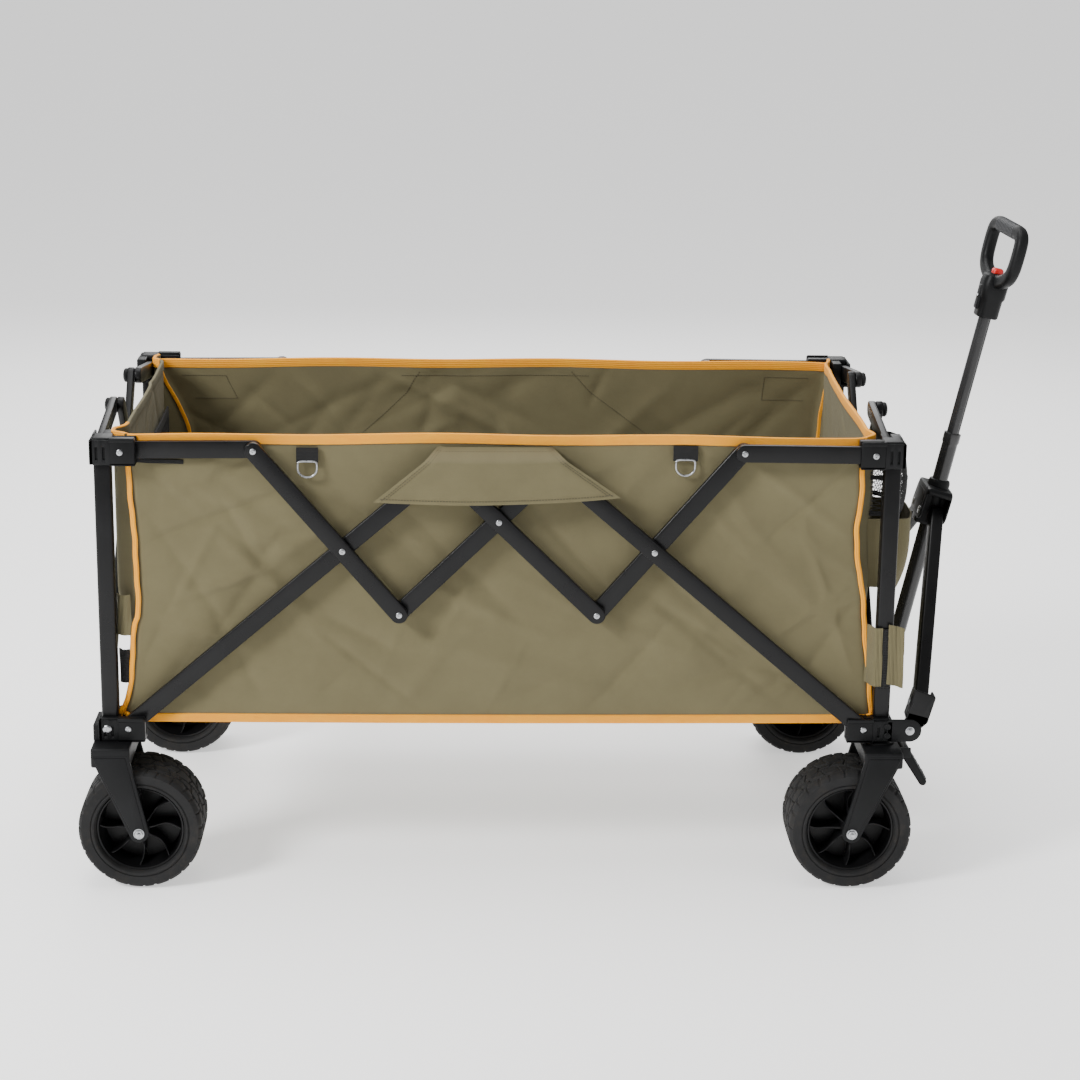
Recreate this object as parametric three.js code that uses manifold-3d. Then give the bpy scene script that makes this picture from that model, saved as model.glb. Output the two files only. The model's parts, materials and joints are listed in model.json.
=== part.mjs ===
// Folding pull wagon: a four-post frame whose sides are scissor links and whose ends are crossed
// links, a fabric basket, two fixed and two caster wheels, and a telescopic pull handle.
// Millimetres. X runs along the wagon towards the handle, Y across it, Z up.
// "near" is the -Y side, "far" the +Y side, "rear" the -X end and "front" the +X (handle) end.
import * as THREE from "three";
import { mergeVertices } from "three/addons/utils/BufferGeometryUtils.js";
import Module from "manifold-3d";

const wasm = await Module();
wasm.setup();

// ---------- driving dimensions ----------
const middleX = 86.7; // middle of the overall length, measured from the middle of the basket
const postX = 559; // corner posts: centre, side and wall
const postY = 290;
const postSide = 24;
const postWall = 2;
const cornerX = 575; // outer faces of the corner brackets
const cornerY = 312.5;
const rearBaseX = 583; // the rear base brackets are a little longer
const baseZ = [218, 254]; // base brackets, bottom and top
const topZ = [628, 668]; // top brackets
const wallInY = 285.4; // inner faces of the bracket wings
const wallInX = 546.5;
const pivotX = 532; // side link pivots in the brackets
const pivotY = 264; // end link pivots in the brackets
const baseFloor = 226; // post sockets: floor of the lower one, ceiling of the upper one
const topCeiling = 658;
const lowPivotZ = 238;
const highPivotZ = 648;
const fit = 0.3; // gap kept between neighbouring pieces
const linkWidth = 25;
const linkThick = 10;
const sideOuter = 304.5; // middles of the two link layers on a side, by |y|
const sideInner = 293.5;
const endOuter = 566; // and on an end, by |x|
const endInner = 555;
const pinR = 3.5;
const holeR = 4.3;
const headR = 6.5;

const longRise = 40.65; // side scissors, degrees from level with the wagon open
const shortRise = 49.5;
const longLower = 408.4; // base pivot to lower crossing
const longUpper = 187.3; // lower crossing to top joint
const shortUpper = 191.468; // this length makes the links meet again when folded
const shortLower = 124;
const endLower = 405.66; // end cross: base pivot to crossing, then to its upper tip
const endUpper = 164.449;
const endRise = 49.399;

const wheelX = 517;
const wheelR = 90;
const wheelWide = 100;
const rimR = 62;
const boreR = 6.6;
const axleR = 6;
const rearCrownX = 555; // the rear fork leans forward, the caster forks trail back
const swivelX = postX;
const fullTurn = 2 * Math.PI;

const swingX = 600; // handle: hinge line, lean of its legs and lean of its tube
const legLean = 15.3;
const tubeLean = 12.3;
const hubPoint = [675, 500]; // a point on the tube's axis, x and z
const legWide = 20;
const legFoot = [292, 38]; // leg pivots in the leaning plane: |y| and height up the plane
const legHead = [26, 262];
const legShift = 6; // the near leg lies this far forward of the plane, the far leg as far behind
const tubeR = 12;
const tubeBore = 9.9;
const innerR = 9.6;
const tubeSpan = [-211, 113]; // along the tube, from hubPoint
const innerSpan = [-15, 338];
const gripFoot = 298;
const gripLoop = { low: 356, high: 436, half: 65, thick: 9.5, twist: 4 };

const panelY = 283; // fabric basket: outer faces of the side and end panels
const panelX = 527;
const clothThick = 3;
const clothZ = [248, 668];
const floorZ = [250, 256];

// ---------- materials ----------
const finish = {
  frame: { color: 0x2b2b2c, roughness: 0.5, metalness: 0.4 },
  moulded: { color: 0x242526, roughness: 0.6, metalness: 0.0 },
  tyre: { color: 0x1c1c1d, roughness: 0.9, metalness: 0.0 },
  rim: { color: 0x303133, roughness: 0.5, metalness: 0.0 },
  cloth: { color: 0x77694a, roughness: 0.95, metalness: 0.0 },
  release: { color: 0xd8231f, roughness: 0.4, metalness: 0.0 },
};

// ---------- solids ----------
const rad = THREE.MathUtils.degToRad;

// A closed manifold solid from a geometry, turned the right way out if need be.
function solid(geometry) {
  const bare = geometry.clone();
  bare.deleteAttribute("normal");
  bare.deleteAttribute("uv");
  const merged = mergeVertices(bare, 1e-4);
  const vertProperties = new Float32Array(merged.attributes.position.array);
  const kept = [];
  const index = merged.index.array;
  for (let i = 0; i < index.length; i += 3) {
    const [a, b, c] = [index[i], index[i + 1], index[i + 2]];
    if (a !== b && b !== c && c !== a) kept.push(a, b, c);
  }
  const build = (tris) => {
    const mesh = new wasm.Mesh({ numProp: 3, vertProperties, triVerts: new Uint32Array(tris) });
    return new wasm.Manifold(mesh);
  };
  const made = build(kept);
  if (made.volume() > 0) return made;
  for (let i = 0; i < kept.length; i += 3) [kept[i + 1], kept[i + 2]] = [kept[i + 2], kept[i + 1]];
  return build(kept);
}

function toGeometry(manifold) {
  const mesh = manifold.getMesh();
  const geometry = new THREE.BufferGeometry();
  geometry.setAttribute("position", new THREE.BufferAttribute(mesh.vertProperties, 3));
  geometry.setIndex(new THREE.BufferAttribute(mesh.triVerts, 1));
  geometry.computeVertexNormals();
  return geometry;
}

function box(x0, x1, y0, y1, z0, z1) {
  const g = new THREE.BoxGeometry(x1 - x0, y1 - y0, z1 - z0);
  return solid(g.translate((x0 + x1) / 2, (y0 + y1) / 2, (z0 + z1) / 2));
}

// A round bar along an axis from one value to another, through the point (u, v) of the other two.
function bar(axis, radius, from, to, u, v, sides = 10) {
  const g = new THREE.CylinderGeometry(radius, radius, to - from, sides);
  const mid = (from + to) / 2;
  if (axis === "x") return solid(g.rotateZ(Math.PI / 2).translate(mid, u, v));
  if (axis === "y") return solid(g.translate(u, mid, v));
  return solid(g.rotateX(Math.PI / 2).translate(u, v, mid));
}

// An outline in (x, z) made thick along Y, between y0 and y1.
function plateXZ(outline, y0, y1) {
  const shape = new THREE.Shape(outline.map(([x, z]) => new THREE.Vector2(x, z)));
  const g = new THREE.ExtrudeGeometry(shape, { depth: y1 - y0, bevelEnabled: false });
  return solid(g.rotateX(Math.PI / 2).translate(0, y1, 0));
}

// Turned about Y: a profile of [radius, y] points.
function turned(profile, sides) {
  const points = profile.map(([r, y]) => new THREE.Vector2(r, y));
  return new THREE.LatheGeometry(points, sides, Math.PI / sides);
}

const join = (first, ...rest) => rest.reduce((all, next) => all.add(next), first);
const cut = (first, ...rest) => rest.reduce((all, next) => all.subtract(next), first);

const wagon = new THREE.Group();

function place(parent, name, manifold, kind) {
  const mesh = new THREE.Mesh(toGeometry(manifold), new THREE.MeshStandardMaterial(finish[kind]));
  mesh.name = name;
  parent.add(mesh);
  return mesh;
}

// ---------- corners: posts, brackets, forks (drawn in the +X +Y corner and mirrored) ----------
function post() {
  const h = postSide / 2;
  const ring = (half, radius) => {
    const points = [];
    for (const [sx, sy, start] of [[1, 1, 0], [-1, 1, 90], [-1, -1, 180], [1, -1, 270]]) {
      for (const step of [0, 45, 90]) {
        const a = rad(start + step);
        const middle = half - radius;
        points.push(new THREE.Vector2(sx * middle + radius * Math.cos(a), sy * middle + radius * Math.sin(a)));
      }
    }
    return points;
  };
  const outline = new THREE.Shape(ring(h, 4));
  outline.holes.push(new THREE.Path(ring(h - postWall, 4 - postWall).reverse()));
  const low = baseFloor + fit;
  const g = new THREE.ExtrudeGeometry(outline, { depth: topCeiling - fit - low, bevelEnabled: false });
  return solid(g.translate(postX, postY, low));
}

function bracket(zs, outerX, inX, pivotZ, socket, slotFloor, sideLayer, endLayer) {
  const [z0, z1] = zs;
  const half = linkThick / 2 + 0.5;
  const lap = 0.2;
  const around = postSide / 2 + fit;
  const wings = join(
    box(inX, outerX, wallInY, cornerY, z0, z1),
    box(wallInX, outerX, pivotY - 16, wallInY + lap, z0, z1),
  );
  const open = cut(
    wings,
    box(postX - around, postX + around, postY - around, postY + around, socket[0], socket[1]),
    box(inX - 1, postX - around + lap, sideLayer - half, sideLayer + half, slotFloor, z1 + 1),
    box(endLayer - half, endLayer + half, pivotY - 17, postY - around + lap, slotFloor, z1 + 1),
  );
  return join(
    open,
    bar("y", pinR, wallInY + 1, cornerY - 1, pivotX, pivotZ),
    bar("x", pinR, wallInX + 1, outerX - 1, pivotY, pivotZ),
    bar("y", headR, cornerY - 1, cornerY + 1.8, pivotX, pivotZ),
    bar("x", headR, outerX - 1, outerX + 1.8, pivotY, pivotZ),
  );
}

const topBracket = (sideLayer, endLayer) => bracket(
  topZ, cornerX, 511, highPivotZ, [topZ[0] - 1, topCeiling], topZ[0] + 5.5, sideLayer, endLayer);

const baseBracket = (outerX, sideLayer, endLayer) => bracket(
  baseZ, outerX, 508, lowPivotZ, [baseFloor, baseZ[1] + 1], baseZ[0] + 6.5, sideLayer, endLayer);

// The lug that carries the handle hinge, with its bolt through the knuckle's web.
function handleLug() {
  const lugIn = cornerY - 3.5;
  return join(
    box(cornerX - 4, swingX, lugIn, cornerY, 221, 255),
    bar("y", 17, lugIn, cornerY, swingX, lowPivotZ, 16),
    bar("y", 4, 303.4, cornerY, swingX, lowPivotZ),
    bar("y", 7.5, 302, 304.6, swingX, lowPivotZ, 8),
    bar("y", 7.5, cornerY - 1, cornerY + 3, swingX, lowPivotZ, 8),
  );
}

// A fork over the wheel: crown, two tapering arms, and the axle bolt with its nuts.
function fork(crownX, crownTop) {
  const gap = wheelWide / 2 + 3;
  const arm = 8;
  const leg = [];
  for (let i = 0; i <= 6; i += 1) {
    const a = rad(180 + 30 * i);
    leg.push([wheelX + 13 * Math.cos(a), wheelR + 13 * Math.sin(a)]);
  }
  leg.push([crownX + 28, 192], [crownX + 28, 204], [crownX - 28, 204], [crownX - 28, 192]);
  const [inner, outer] = [postY - 5 - gap, postY - 5 + gap];
  return join(
    box(crownX - 28, crownX + 28, inner - arm, outer + arm, 190, crownTop),
    plateXZ(leg, inner - arm, inner),
    plateXZ(leg, outer, outer + arm),
    bar("y", axleR, inner - 4, outer + 4, wheelX, wheelR),
    bar("y", 9.5, inner - arm - 6, inner - arm + 1, wheelX, wheelR, 6),
    bar("y", 9.5, outer + arm - 1, outer + arm + 6, wheelX, wheelR, 6),
  );
}

const pedalEye = [595, 204];

function casterFork() {
  const ear = (y) => cut(
    box(swivelX + 20, pedalEye[0] + 8, y, y + 4, 197, 212),
    bar("y", 3.6, y - 1, y + 5, pedalEye[0], pedalEye[1], 8),
  );
  return join(
    fork(swivelX, 214),
    bar("z", 22, 213, 217.4, swivelX, postY, 16),
    bar("z", 5, 217, 225.4, swivelX, postY, 12),
    ear(256),
    ear(310),
  );
}

function brakePedal() {
  const [x, z] = pedalEye;
  const slope = new THREE.Vector2(33, -54).normalize();
  const side = new THREE.Vector2(-slope.y, slope.x);
  const at = (along, across) => [x + slope.x * along + side.x * across, z + slope.y * along + side.y * across];
  const blade = [at(0, -3.5), at(56, -5), at(63, 0), at(56, 5), at(0, 3.5)];
  return join(
    bar("y", 7, 261, 309, x, z, 10),
    plateXZ(blade, 261, 309),
    bar("y", 3, 257, 313, x, z, 8),
  );
}

function tyre() {
  const [h, n] = [wheelWide / 2, 20];
  const r = wheelR / Math.cos(Math.PI / n);
  const profile = [
    [rimR + 1, -h + 9], [rimR + 12, -h + 3], [r - 9, -h], [r - 2, -h + 6], [r, -h + 14],
    [r, h - 14], [r - 2, h - 6], [r - 9, h], [rimR + 12, h - 3], [rimR + 1, h - 9],
    [rimR + 1, -h + 9],
  ];
  return solid(turned(profile, n));
}

function rim() {
  const [h, n, spokes] = [wheelWide / 2 - 8, 20, 8];
  const ring = solid(turned([
    [rimR - 5, -h], [rimR, -h], [rimR, h], [rimR - 5, h], [rimR - 5, -h],
  ], n));
  const hub = solid(turned([[boreR, -h - 4], [15, -h - 4], [15, h + 4], [boreR, h + 4], [boreR, -h - 4]], 16));
  let wheel = ring.add(hub);
  for (let i = 0; i < spokes; i += 1) {
    const arm = new THREE.BoxGeometry(rimR - 15, 36, 7).translate(rimR / 2 + 6, 8, 0);
    wheel = wheel.add(solid(arm.rotateY((i * fullTurn) / spokes)));
  }
  return wheel;
}

const corners = [
  { name: "rear_near", sx: -1, sy: -1, side: sideInner, end: endOuter },
  { name: "rear_far", sx: -1, sy: 1, side: sideInner, end: endInner },
  { name: "front_near", sx: 1, sy: -1, side: sideOuter, end: endInner },
  { name: "front_far", sx: 1, sy: 1, side: sideOuter, end: endOuter },
];
for (const corner of corners) {
  const group = new THREE.Group();
  group.scale.set(corner.sx, corner.sy, 1);
  wagon.add(group);
  place(group, `${corner.name}_post`, post(), "frame");
  place(group, `${corner.name}_top_bracket`, topBracket(corner.side, corner.end), "moulded");
  if (corner.sx < 0) {
    const base = baseBracket(rearBaseX, corner.side, corner.end);
    place(group, `${corner.name}_base_fork`, base.add(fork(rearCrownX, baseZ[0] + 1)), "moulded");
  } else {
    const pierced = cut(
      baseBracket(cornerX, corner.side, corner.end),
      bar("z", 5.5, 217, 227, swivelX, postY, 12),
    );
    place(group, `${corner.name}_base_bracket`, pierced.add(handleLug()), "moulded");
    place(group, `${corner.name}_caster_fork`, casterFork(), "moulded");
    const which = corner.sy < 0 ? "near" : "far";
    place(group, `${which}_brake_pedal`, brakePedal(), "moulded");
  }
  for (const [part, make, kind] of [["tyre", tyre, "tyre"], ["rim", rim, "rim"]]) {
    const mesh = place(group, `${corner.name}_${part}`, make(), kind);
    mesh.position.set(wheelX, postY - 5, wheelR);
  }
}

// ---------- links ----------
// A link lies along +X from its first pivot. It is a channel: pockets between its pivots open on
// the face turned away from "out" (+1 or -1 along Y). holes and pins are distances from the first
// pivot; a pin stands out of the face on its own side, past the next layer, and ends in a head.
function link({ length, holes = [], pins = [], rivets = [], stops, out = -1 }) {
  const [r, t] = [linkWidth / 2, linkThick / 2];
  const outline = [];
  for (const [middle, start] of [[length, -90], [0, 90]]) {
    for (let i = 0; i <= 6; i += 1) {
      const a = rad(start + 30 * i);
      outline.push([middle + r * Math.cos(a), r * Math.sin(a)]);
    }
  }
  let body = plateXZ(outline, -t, t);
  for (let i = 0; i + 1 < stops.length; i += 1) {
    const [from, to] = [stops[i] + 11, stops[i + 1] - 11];
    const faces = out < 0 ? [-t + 1.5, t + 1] : [-t - 1, t - 1.5];
    body = body.subtract(box(from, to, faces[0], faces[1], -r + 1.8, r - 1.8));
  }
  for (const s of holes) body = body.subtract(bar("y", holeR, -t - 1, t + 1, s, 0, 8));
  for (const [s, towards] of pins) {
    const reach = 3 * t + 1.3;
    const ends = (a, b) => (towards < 0 ? [-b, -a] : [a, b]);
    body = body.add(bar("y", pinR, ...ends(t - 1, reach + 1.6), s, 0, 8));
    body = body.add(bar("y", headR, ...ends(reach, reach + 1.8), s, 0, 8));
  }
  for (const s of rivets) body = body.add(bar("y", headR, ...(out < 0 ? [-t - 1.8, -t + 1] : [t - 1, t + 1.8]), s, 0, 8));
  return body;
}

const reachFrom = (x, z, length, degrees) => [
  x + length * Math.cos(rad(degrees)), z + length * Math.sin(rad(degrees)),
];
const lowCross = reachFrom(-pivotX, lowPivotZ, longLower, longRise);
const topJoint = reachFrom(-pivotX, lowPivotZ, longLower + longUpper, longRise);
const shortTip = reachFrom(...lowCross, shortUpper, 180 - shortRise);
const lowJoint = reachFrom(...lowCross, shortLower, -shortRise);
const crossRun = -topJoint[0] - lowJoint[0];
const crossRise = (Math.atan2(topJoint[1] - lowJoint[1], crossRun) * 180) / Math.PI;
const crossLower = -lowJoint[0] / Math.cos(rad(crossRise));
const crossLength = Math.hypot(crossRun, topJoint[1] - lowJoint[1]);
const stubRun = [shortTip[0] + pivotX, shortTip[1] - highPivotZ];
const stubLength = Math.hypot(...stubRun);
const stubRise = (Math.atan2(stubRun[1], stubRun[0]) * 180) / Math.PI;

// Puts a link with its first pivot at (x, z), rising by an angle, in the layer at |y|.
function layLink(parent, name, spec, x, z, rise, layer) {
  const mesh = place(parent, name, link(spec), "frame");
  mesh.position.set(x, -layer, z);
  mesh.rotation.y = -rad(rise);
}

for (const [which, sy] of [["near", 1], ["far", -1]]) {
  const side = new THREE.Group();
  side.scale.set(1, sy, 1);
  wagon.add(side);
  const long = longLower + longUpper;
  const short = shortUpper + shortLower;
  layLink(side, `${which}_long_arm_rear`, {
    length: long, holes: [0], pins: [[longLower, -1], [long, -1]], stops: [0, longLower, long], out: -1,
  }, -pivotX, lowPivotZ, longRise, sideInner);
  layLink(side, `${which}_long_arm_front`, {
    length: long, holes: [0], pins: [[longLower, 1], [long, 1]], rivets: [longLower, long],
    stops: [0, longLower, long],
  }, pivotX, lowPivotZ, 180 - longRise, sideOuter);
  layLink(side, `${which}_short_arm_rear`, {
    length: short, holes: [shortUpper], rivets: [0, short], stops: [0, shortUpper, short],
  }, ...shortTip, -shortRise, sideOuter);
  layLink(side, `${which}_short_arm_front`, {
    length: short, holes: [shortUpper], stops: [0, shortUpper, short],
  }, -shortTip[0], shortTip[1], 180 + shortRise, sideInner);
  layLink(side, `${which}_cross_arm_inner`, {
    length: crossLength, holes: [crossLength], stops: [0, crossLower, crossLength],
  }, ...lowJoint, crossRise, sideInner);
  layLink(side, `${which}_cross_arm_outer`, {
    length: crossLength, holes: [crossLength], rivets: [0, crossLower],
    stops: [0, crossLower, crossLength],
  }, -lowJoint[0], lowJoint[1], 180 - crossRise, sideOuter);
  layLink(side, `${which}_stub_rear`, {
    length: stubLength, holes: [0], stops: [0, stubLength],
  }, -pivotX, highPivotZ, stubRise, sideInner);
  layLink(side, `${which}_stub_front`, {
    length: stubLength, holes: [0], rivets: [stubLength], stops: [0, stubLength],
  }, pivotX, highPivotZ, 180 - stubRise, sideOuter);
}

// Each end is drawn as if seen from outside with its own left side at -X, then turned.
const endTip = reachFrom(-pivotY, lowPivotZ, endLower + endUpper, endRise);
const endStubRun = [endTip[0] - pivotY, endTip[1] - highPivotZ];
const endStubLength = Math.hypot(...endStubRun);
const endStubRise = (Math.atan2(endStubRun[1], -endStubRun[0]) * 180) / Math.PI;

for (const [which, turn, outerSide] of [["rear", -1, "near"], ["front", 1, "far"]]) {
  const end = new THREE.Group();
  end.rotation.z = (turn * Math.PI) / 2; // -X of the drawing becomes +Y at the rear, -Y at the front
  wagon.add(end);
  for (const [hand, sx] of [["near", -turn], ["far", turn]]) {
    // sx is +1 where this hand lies on the drawing's +X side
    const outer = hand === outerSide;
    const layer = outer ? endOuter : endInner;
    const whole = endLower + endUpper;
    const lean = (rise) => (sx > 0 ? 180 - rise : rise);
    layLink(end, `${which}_end_arm_${hand}`, {
      length: whole, holes: [0], rivets: outer ? [endLower, whole] : [], stops: [0, endLower, whole],
    }, sx * pivotY, lowPivotZ, lean(endRise), layer);
    layLink(end, `${which}_end_stub_${hand}`, {
      length: endStubLength, holes: [0], rivets: outer ? [endStubLength] : [], stops: [0, endStubLength],
    }, sx * pivotY, highPivotZ, lean(endStubRise), layer);
  }
}

// ---------- handle ----------
// Everything here is drawn in the leaning plane: X is its forward normal, Z runs up the plane.
const plane = new THREE.Group();
plane.position.set(swingX, 0, lowPivotZ);
plane.rotation.y = rad(legLean);
wagon.add(plane);

const tubeFrame = new THREE.Group();
tubeFrame.position.set(hubPoint[0], 0, hubPoint[1]);
tubeFrame.rotation.y = rad(tubeLean);
wagon.add(tubeFrame);

// A web on the hinge line carries two ears, one each side of the leg's foot. The web ends below
// the foot, so the far foot can pass over it while the width folds; only the near foot is pinned.
function knuckle(shift, pinned) {
  const [ear, gap, top] = [16, 13, 26];
  const [inner, outer] = [304.9, 308.4];
  const web = plateXZ([
    [-12, -12], [12, -12], [shift + ear, 16], [shift + ear, top], [shift - ear, top], [shift - ear, 16],
  ], inner, outer);
  const pin = pinned ? [bar("x", pinR, shift - ear + 1, shift + ear - 1, ...legFoot)] : [];
  return join(
    cut(web, bar("y", 4.7, 304, 309, 0, 0)),
    box(shift + gap, shift + ear, 280, outer, 14, 58),
    box(shift - ear, shift - gap, 280, outer, 14, 58),
    ...pin,
  );
}

// A leg is a plain bar in the plane with a hole at its head and at its foot.
function leg(shift) {
  const run = [legFoot[0] - legHead[0], legHead[1] - legFoot[1]];
  const length = Math.hypot(...run);
  const r = legWide / 2;
  const outline = [];
  for (const [middle, start] of [[length, -90], [0, 90]]) {
    for (let i = 0; i <= 6; i += 1) {
      const a = rad(start + 30 * i);
      outline.push([middle + r * Math.cos(a), r * Math.sin(a)]);
    }
  }
  const hollow = box(14, length - 14, -r - 1, r - 2, -r + 2, r - 2);
  const body = cut(
    plateXZ(outline, -r, r),
    hollow,
    bar("y", holeR, -r - 1, r + 1, 0, 0, 8),
    bar("y", holeR, -r - 1, r + 1, length, 0, 8),
  );
  const mesh = toGeometry(body);
  mesh.rotateY(-Math.atan2(run[1], run[0])); // rises from the foot
  mesh.rotateZ(Math.PI / 2); // +X of the drawing becomes +Y
  mesh.scale(1, -1, 1); // and the foot is drawn at +Y with the leg running inwards
  mesh.translate(shift, legFoot[0], legFoot[1]);
  return solid(mesh);
}

function hubAndTube() {
  const [low, high, wide, face] = [238, 300, 40, 21];
  const plates = [-1, 1].map((s) => {
    const [a, b] = s < 0 ? [-face, -face + 3] : [face - 3, face];
    return box(a, b, -wide, wide, low, high);
  });
  const pins = [-1, 1].map((s) => bar("x", pinR, -face + 1, face - 1, s * legHead[0], legHead[1]));
  const tilt = new THREE.Matrix4().makeRotationY(rad(legLean)).setPosition(swingX, 0, lowPivotZ).invert();
  const own = new THREE.Matrix4().makeRotationY(rad(tubeLean)).setPosition(hubPoint[0], 0, hubPoint[1]);
  const toPlane = tilt.multiply(own);
  const along = (radius, from, to) => {
    const g = new THREE.CylinderGeometry(radius, radius, to - from, 16);
    return solid(g.rotateX(Math.PI / 2).translate(0, 0, (from + to) / 2).applyMatrix4(toPlane));
  };
  const whole = join(
    ...plates,
    box(-face + 1, face - 1, -15, 15, low, high),
    box(-face, face, -wide, wide, high - 11, high),
    ...pins,
    along(tubeR, tubeSpan[0], tubeSpan[1]),
    along(tubeR + 2, tubeSpan[1] - 16, tubeSpan[1] + 1),
  );
  return whole.subtract(along(tubeBore, tubeSpan[0] - 1, tubeSpan[1] + 2));
}

function innerTube() {
  const [w0, w1] = innerSpan;
  return cut(bar("z", innerR, w0, w1, 0, 0, 16), bar("z", innerR - 1.6, w0 - 1, w1 + 1, 0, 0, 16));
}

function loopHalf(side) {
  const { low, high, half, thick } = gripLoop;
  const route = [
    [-4, low], [12, low], [32, low + 3], [52, low + 11], [62, low + 22], [half, low + 38],
    [half, high - 16], [half - 6, high - 5], [half - 18, high], [30, high], [-4, high],
  ].map(([y, w]) => new THREE.Vector3(0, side * y, w));
  const path = new THREE.CatmullRomCurve3(route, false, "centripetal");
  const section = new THREE.Shape();
  for (let i = 0; i <= 10; i += 1) {
    const a = (i / 10) * 2 * Math.PI;
    const [x, y] = [thick * Math.cos(a), thick * Math.sin(a)];
    if (i === 0) section.moveTo(x, y);
    else section.lineTo(x, y);
  }
  return solid(new THREE.ExtrudeGeometry(section, { steps: 14, extrudePath: path, bevelEnabled: false }));
}

function grip() {
  const socket = join(
    bar("z", 17, gripFoot, gripLoop.low - 10, 0, 0, 16),
    bar("z", 20, gripLoop.low - 26, gripLoop.low + 6, 0, 0, 16),
  );
  return cut(
    join(socket, loopHalf(1), loopHalf(-1)),
    bar("z", innerR + fit, gripFoot - 1, innerSpan[1] + fit, 0, 0, 16),
    bar("z", 7.8, 343, 380, 0, 0, 12),
  );
}

const releaseButton = () => bar("z", 7.2, 349, 367, 0, 0, 12);

for (const [which, sy, shift] of [["near", -1, legShift], ["far", 1, -legShift]]) {
  const half = new THREE.Group();
  half.scale.set(1, sy, 1);
  plane.add(half);
  place(half, `handle_knuckle_${which}`, knuckle(shift, sy < 0), "frame");
  place(half, `handle_leg_${which}`, leg(shift), "frame");
}
place(plane, "handle_hub_tube", hubAndTube(), "moulded");
place(tubeFrame, "handle_inner_tube", innerTube(), "frame");
for (const [name, made, kind] of [["handle_grip", grip(), "moulded"], ["handle_button", releaseButton(), "release"]]) {
  place(tubeFrame, name, made, kind).rotation.z = rad(gripLoop.twist);
}

// ---------- fabric basket ----------
const [c0, c1] = clothZ;
const t = clothThick;
const nearRear = join(
  box(-panelX, panelX - t - 0.4, -panelY, -panelY + t, c0, c1),
  box(-panelX, -panelX + t, -panelY, panelY - t - 0.4, c0, c1),
);
place(wagon, "near_rear_fabric", nearRear, "cloth");
place(wagon, "far_front_fabric", nearRear, "cloth").rotation.z = Math.PI;
const floorX = panelX - t - 0.7;
place(wagon, "floor_near", box(-floorX, floorX, -panelY + t + 0.7, -fit, ...floorZ), "cloth");
place(wagon, "floor_far", box(-floorX, floorX, fit, panelY - t - 0.7, ...floorZ), "cloth");

const part = new THREE.Group();
wagon.position.x = -middleX;
part.add(wagon);
part.updateMatrixWorld(true);

export default part;
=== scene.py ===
import json
import math
import bmesh
import bpy
import numpy as np
from mathutils import Matrix, Vector


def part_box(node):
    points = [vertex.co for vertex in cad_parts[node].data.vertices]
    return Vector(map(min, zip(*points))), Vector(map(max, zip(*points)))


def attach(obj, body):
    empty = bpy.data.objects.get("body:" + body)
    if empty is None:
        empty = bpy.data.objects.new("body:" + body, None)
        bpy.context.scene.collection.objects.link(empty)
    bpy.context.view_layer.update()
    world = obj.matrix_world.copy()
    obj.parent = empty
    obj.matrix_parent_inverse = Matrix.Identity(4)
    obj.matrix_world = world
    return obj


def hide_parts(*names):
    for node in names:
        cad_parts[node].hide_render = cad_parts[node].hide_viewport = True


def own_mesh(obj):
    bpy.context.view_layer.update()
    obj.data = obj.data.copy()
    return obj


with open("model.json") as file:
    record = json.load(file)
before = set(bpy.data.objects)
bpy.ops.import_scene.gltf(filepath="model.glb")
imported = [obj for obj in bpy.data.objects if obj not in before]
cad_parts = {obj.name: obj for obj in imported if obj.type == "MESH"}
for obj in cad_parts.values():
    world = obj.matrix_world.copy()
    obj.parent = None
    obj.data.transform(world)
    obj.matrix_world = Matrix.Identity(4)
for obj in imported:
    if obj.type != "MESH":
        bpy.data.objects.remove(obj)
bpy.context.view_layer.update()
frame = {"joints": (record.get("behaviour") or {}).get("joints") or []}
mm = 0.001
joints = {j["name"]: j for j in frame["joints"]}


def pivot(name):
    return np.array(joints[name]["pos_m"])


def nodeBox(name):
    low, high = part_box(name)
    return np.array(low), np.array(high)


# ground plan of the wagon, read from the posts
postLow, postHigh = nodeBox("front_far_post")
middleX = float((postLow[0] + nodeBox("rear_far_post")[1][0]) / 2)
postX = (postLow[0] + postHigh[0]) / 2 - middleX
postY = (postLow[1] + postHigh[1]) / 2
postHalf = (postHigh[0] - postLow[0]) / 2
print("frame loaded, middle of the basket at", round(middleX, 4))


def ringCircle(radius, count=24, start=0.0):
    # a circle: radius times cos and sin of evenly spaced angles
    a = start + np.arange(count) * 2 * math.pi / count
    return np.stack([radius * np.cos(a), radius * np.sin(a)], 1)


def ringBox(halfU, halfV, radius, steps=4):
    # a rectangle with quarter-circle corners: corner centres plus radius times cos and sin
    a = np.linspace(0, math.pi / 2, steps + 1)
    ring = []
    for k, (su, sv) in enumerate([(1, 1), (-1, 1), (-1, -1), (1, -1)]):
        b = a + k * math.pi / 2
        cu, cv = su * (halfU - radius), sv * (halfV - radius)
        ring.append(np.stack([cu + radius * np.cos(b), cv + radius * np.sin(b)], 1))
    return np.concatenate(ring)


def ringStadium(length, radius, steps=10):
    # two half circles joined by straight sides, from 0 to length along the first axis
    a = np.linspace(-math.pi / 2, math.pi / 2, steps + 1)
    right = np.stack([length + radius * np.cos(a), radius * np.sin(a)], 1)
    left = np.stack([-radius * np.cos(a), -radius * np.sin(a)], 1)
    return np.concatenate([right, left])


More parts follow.
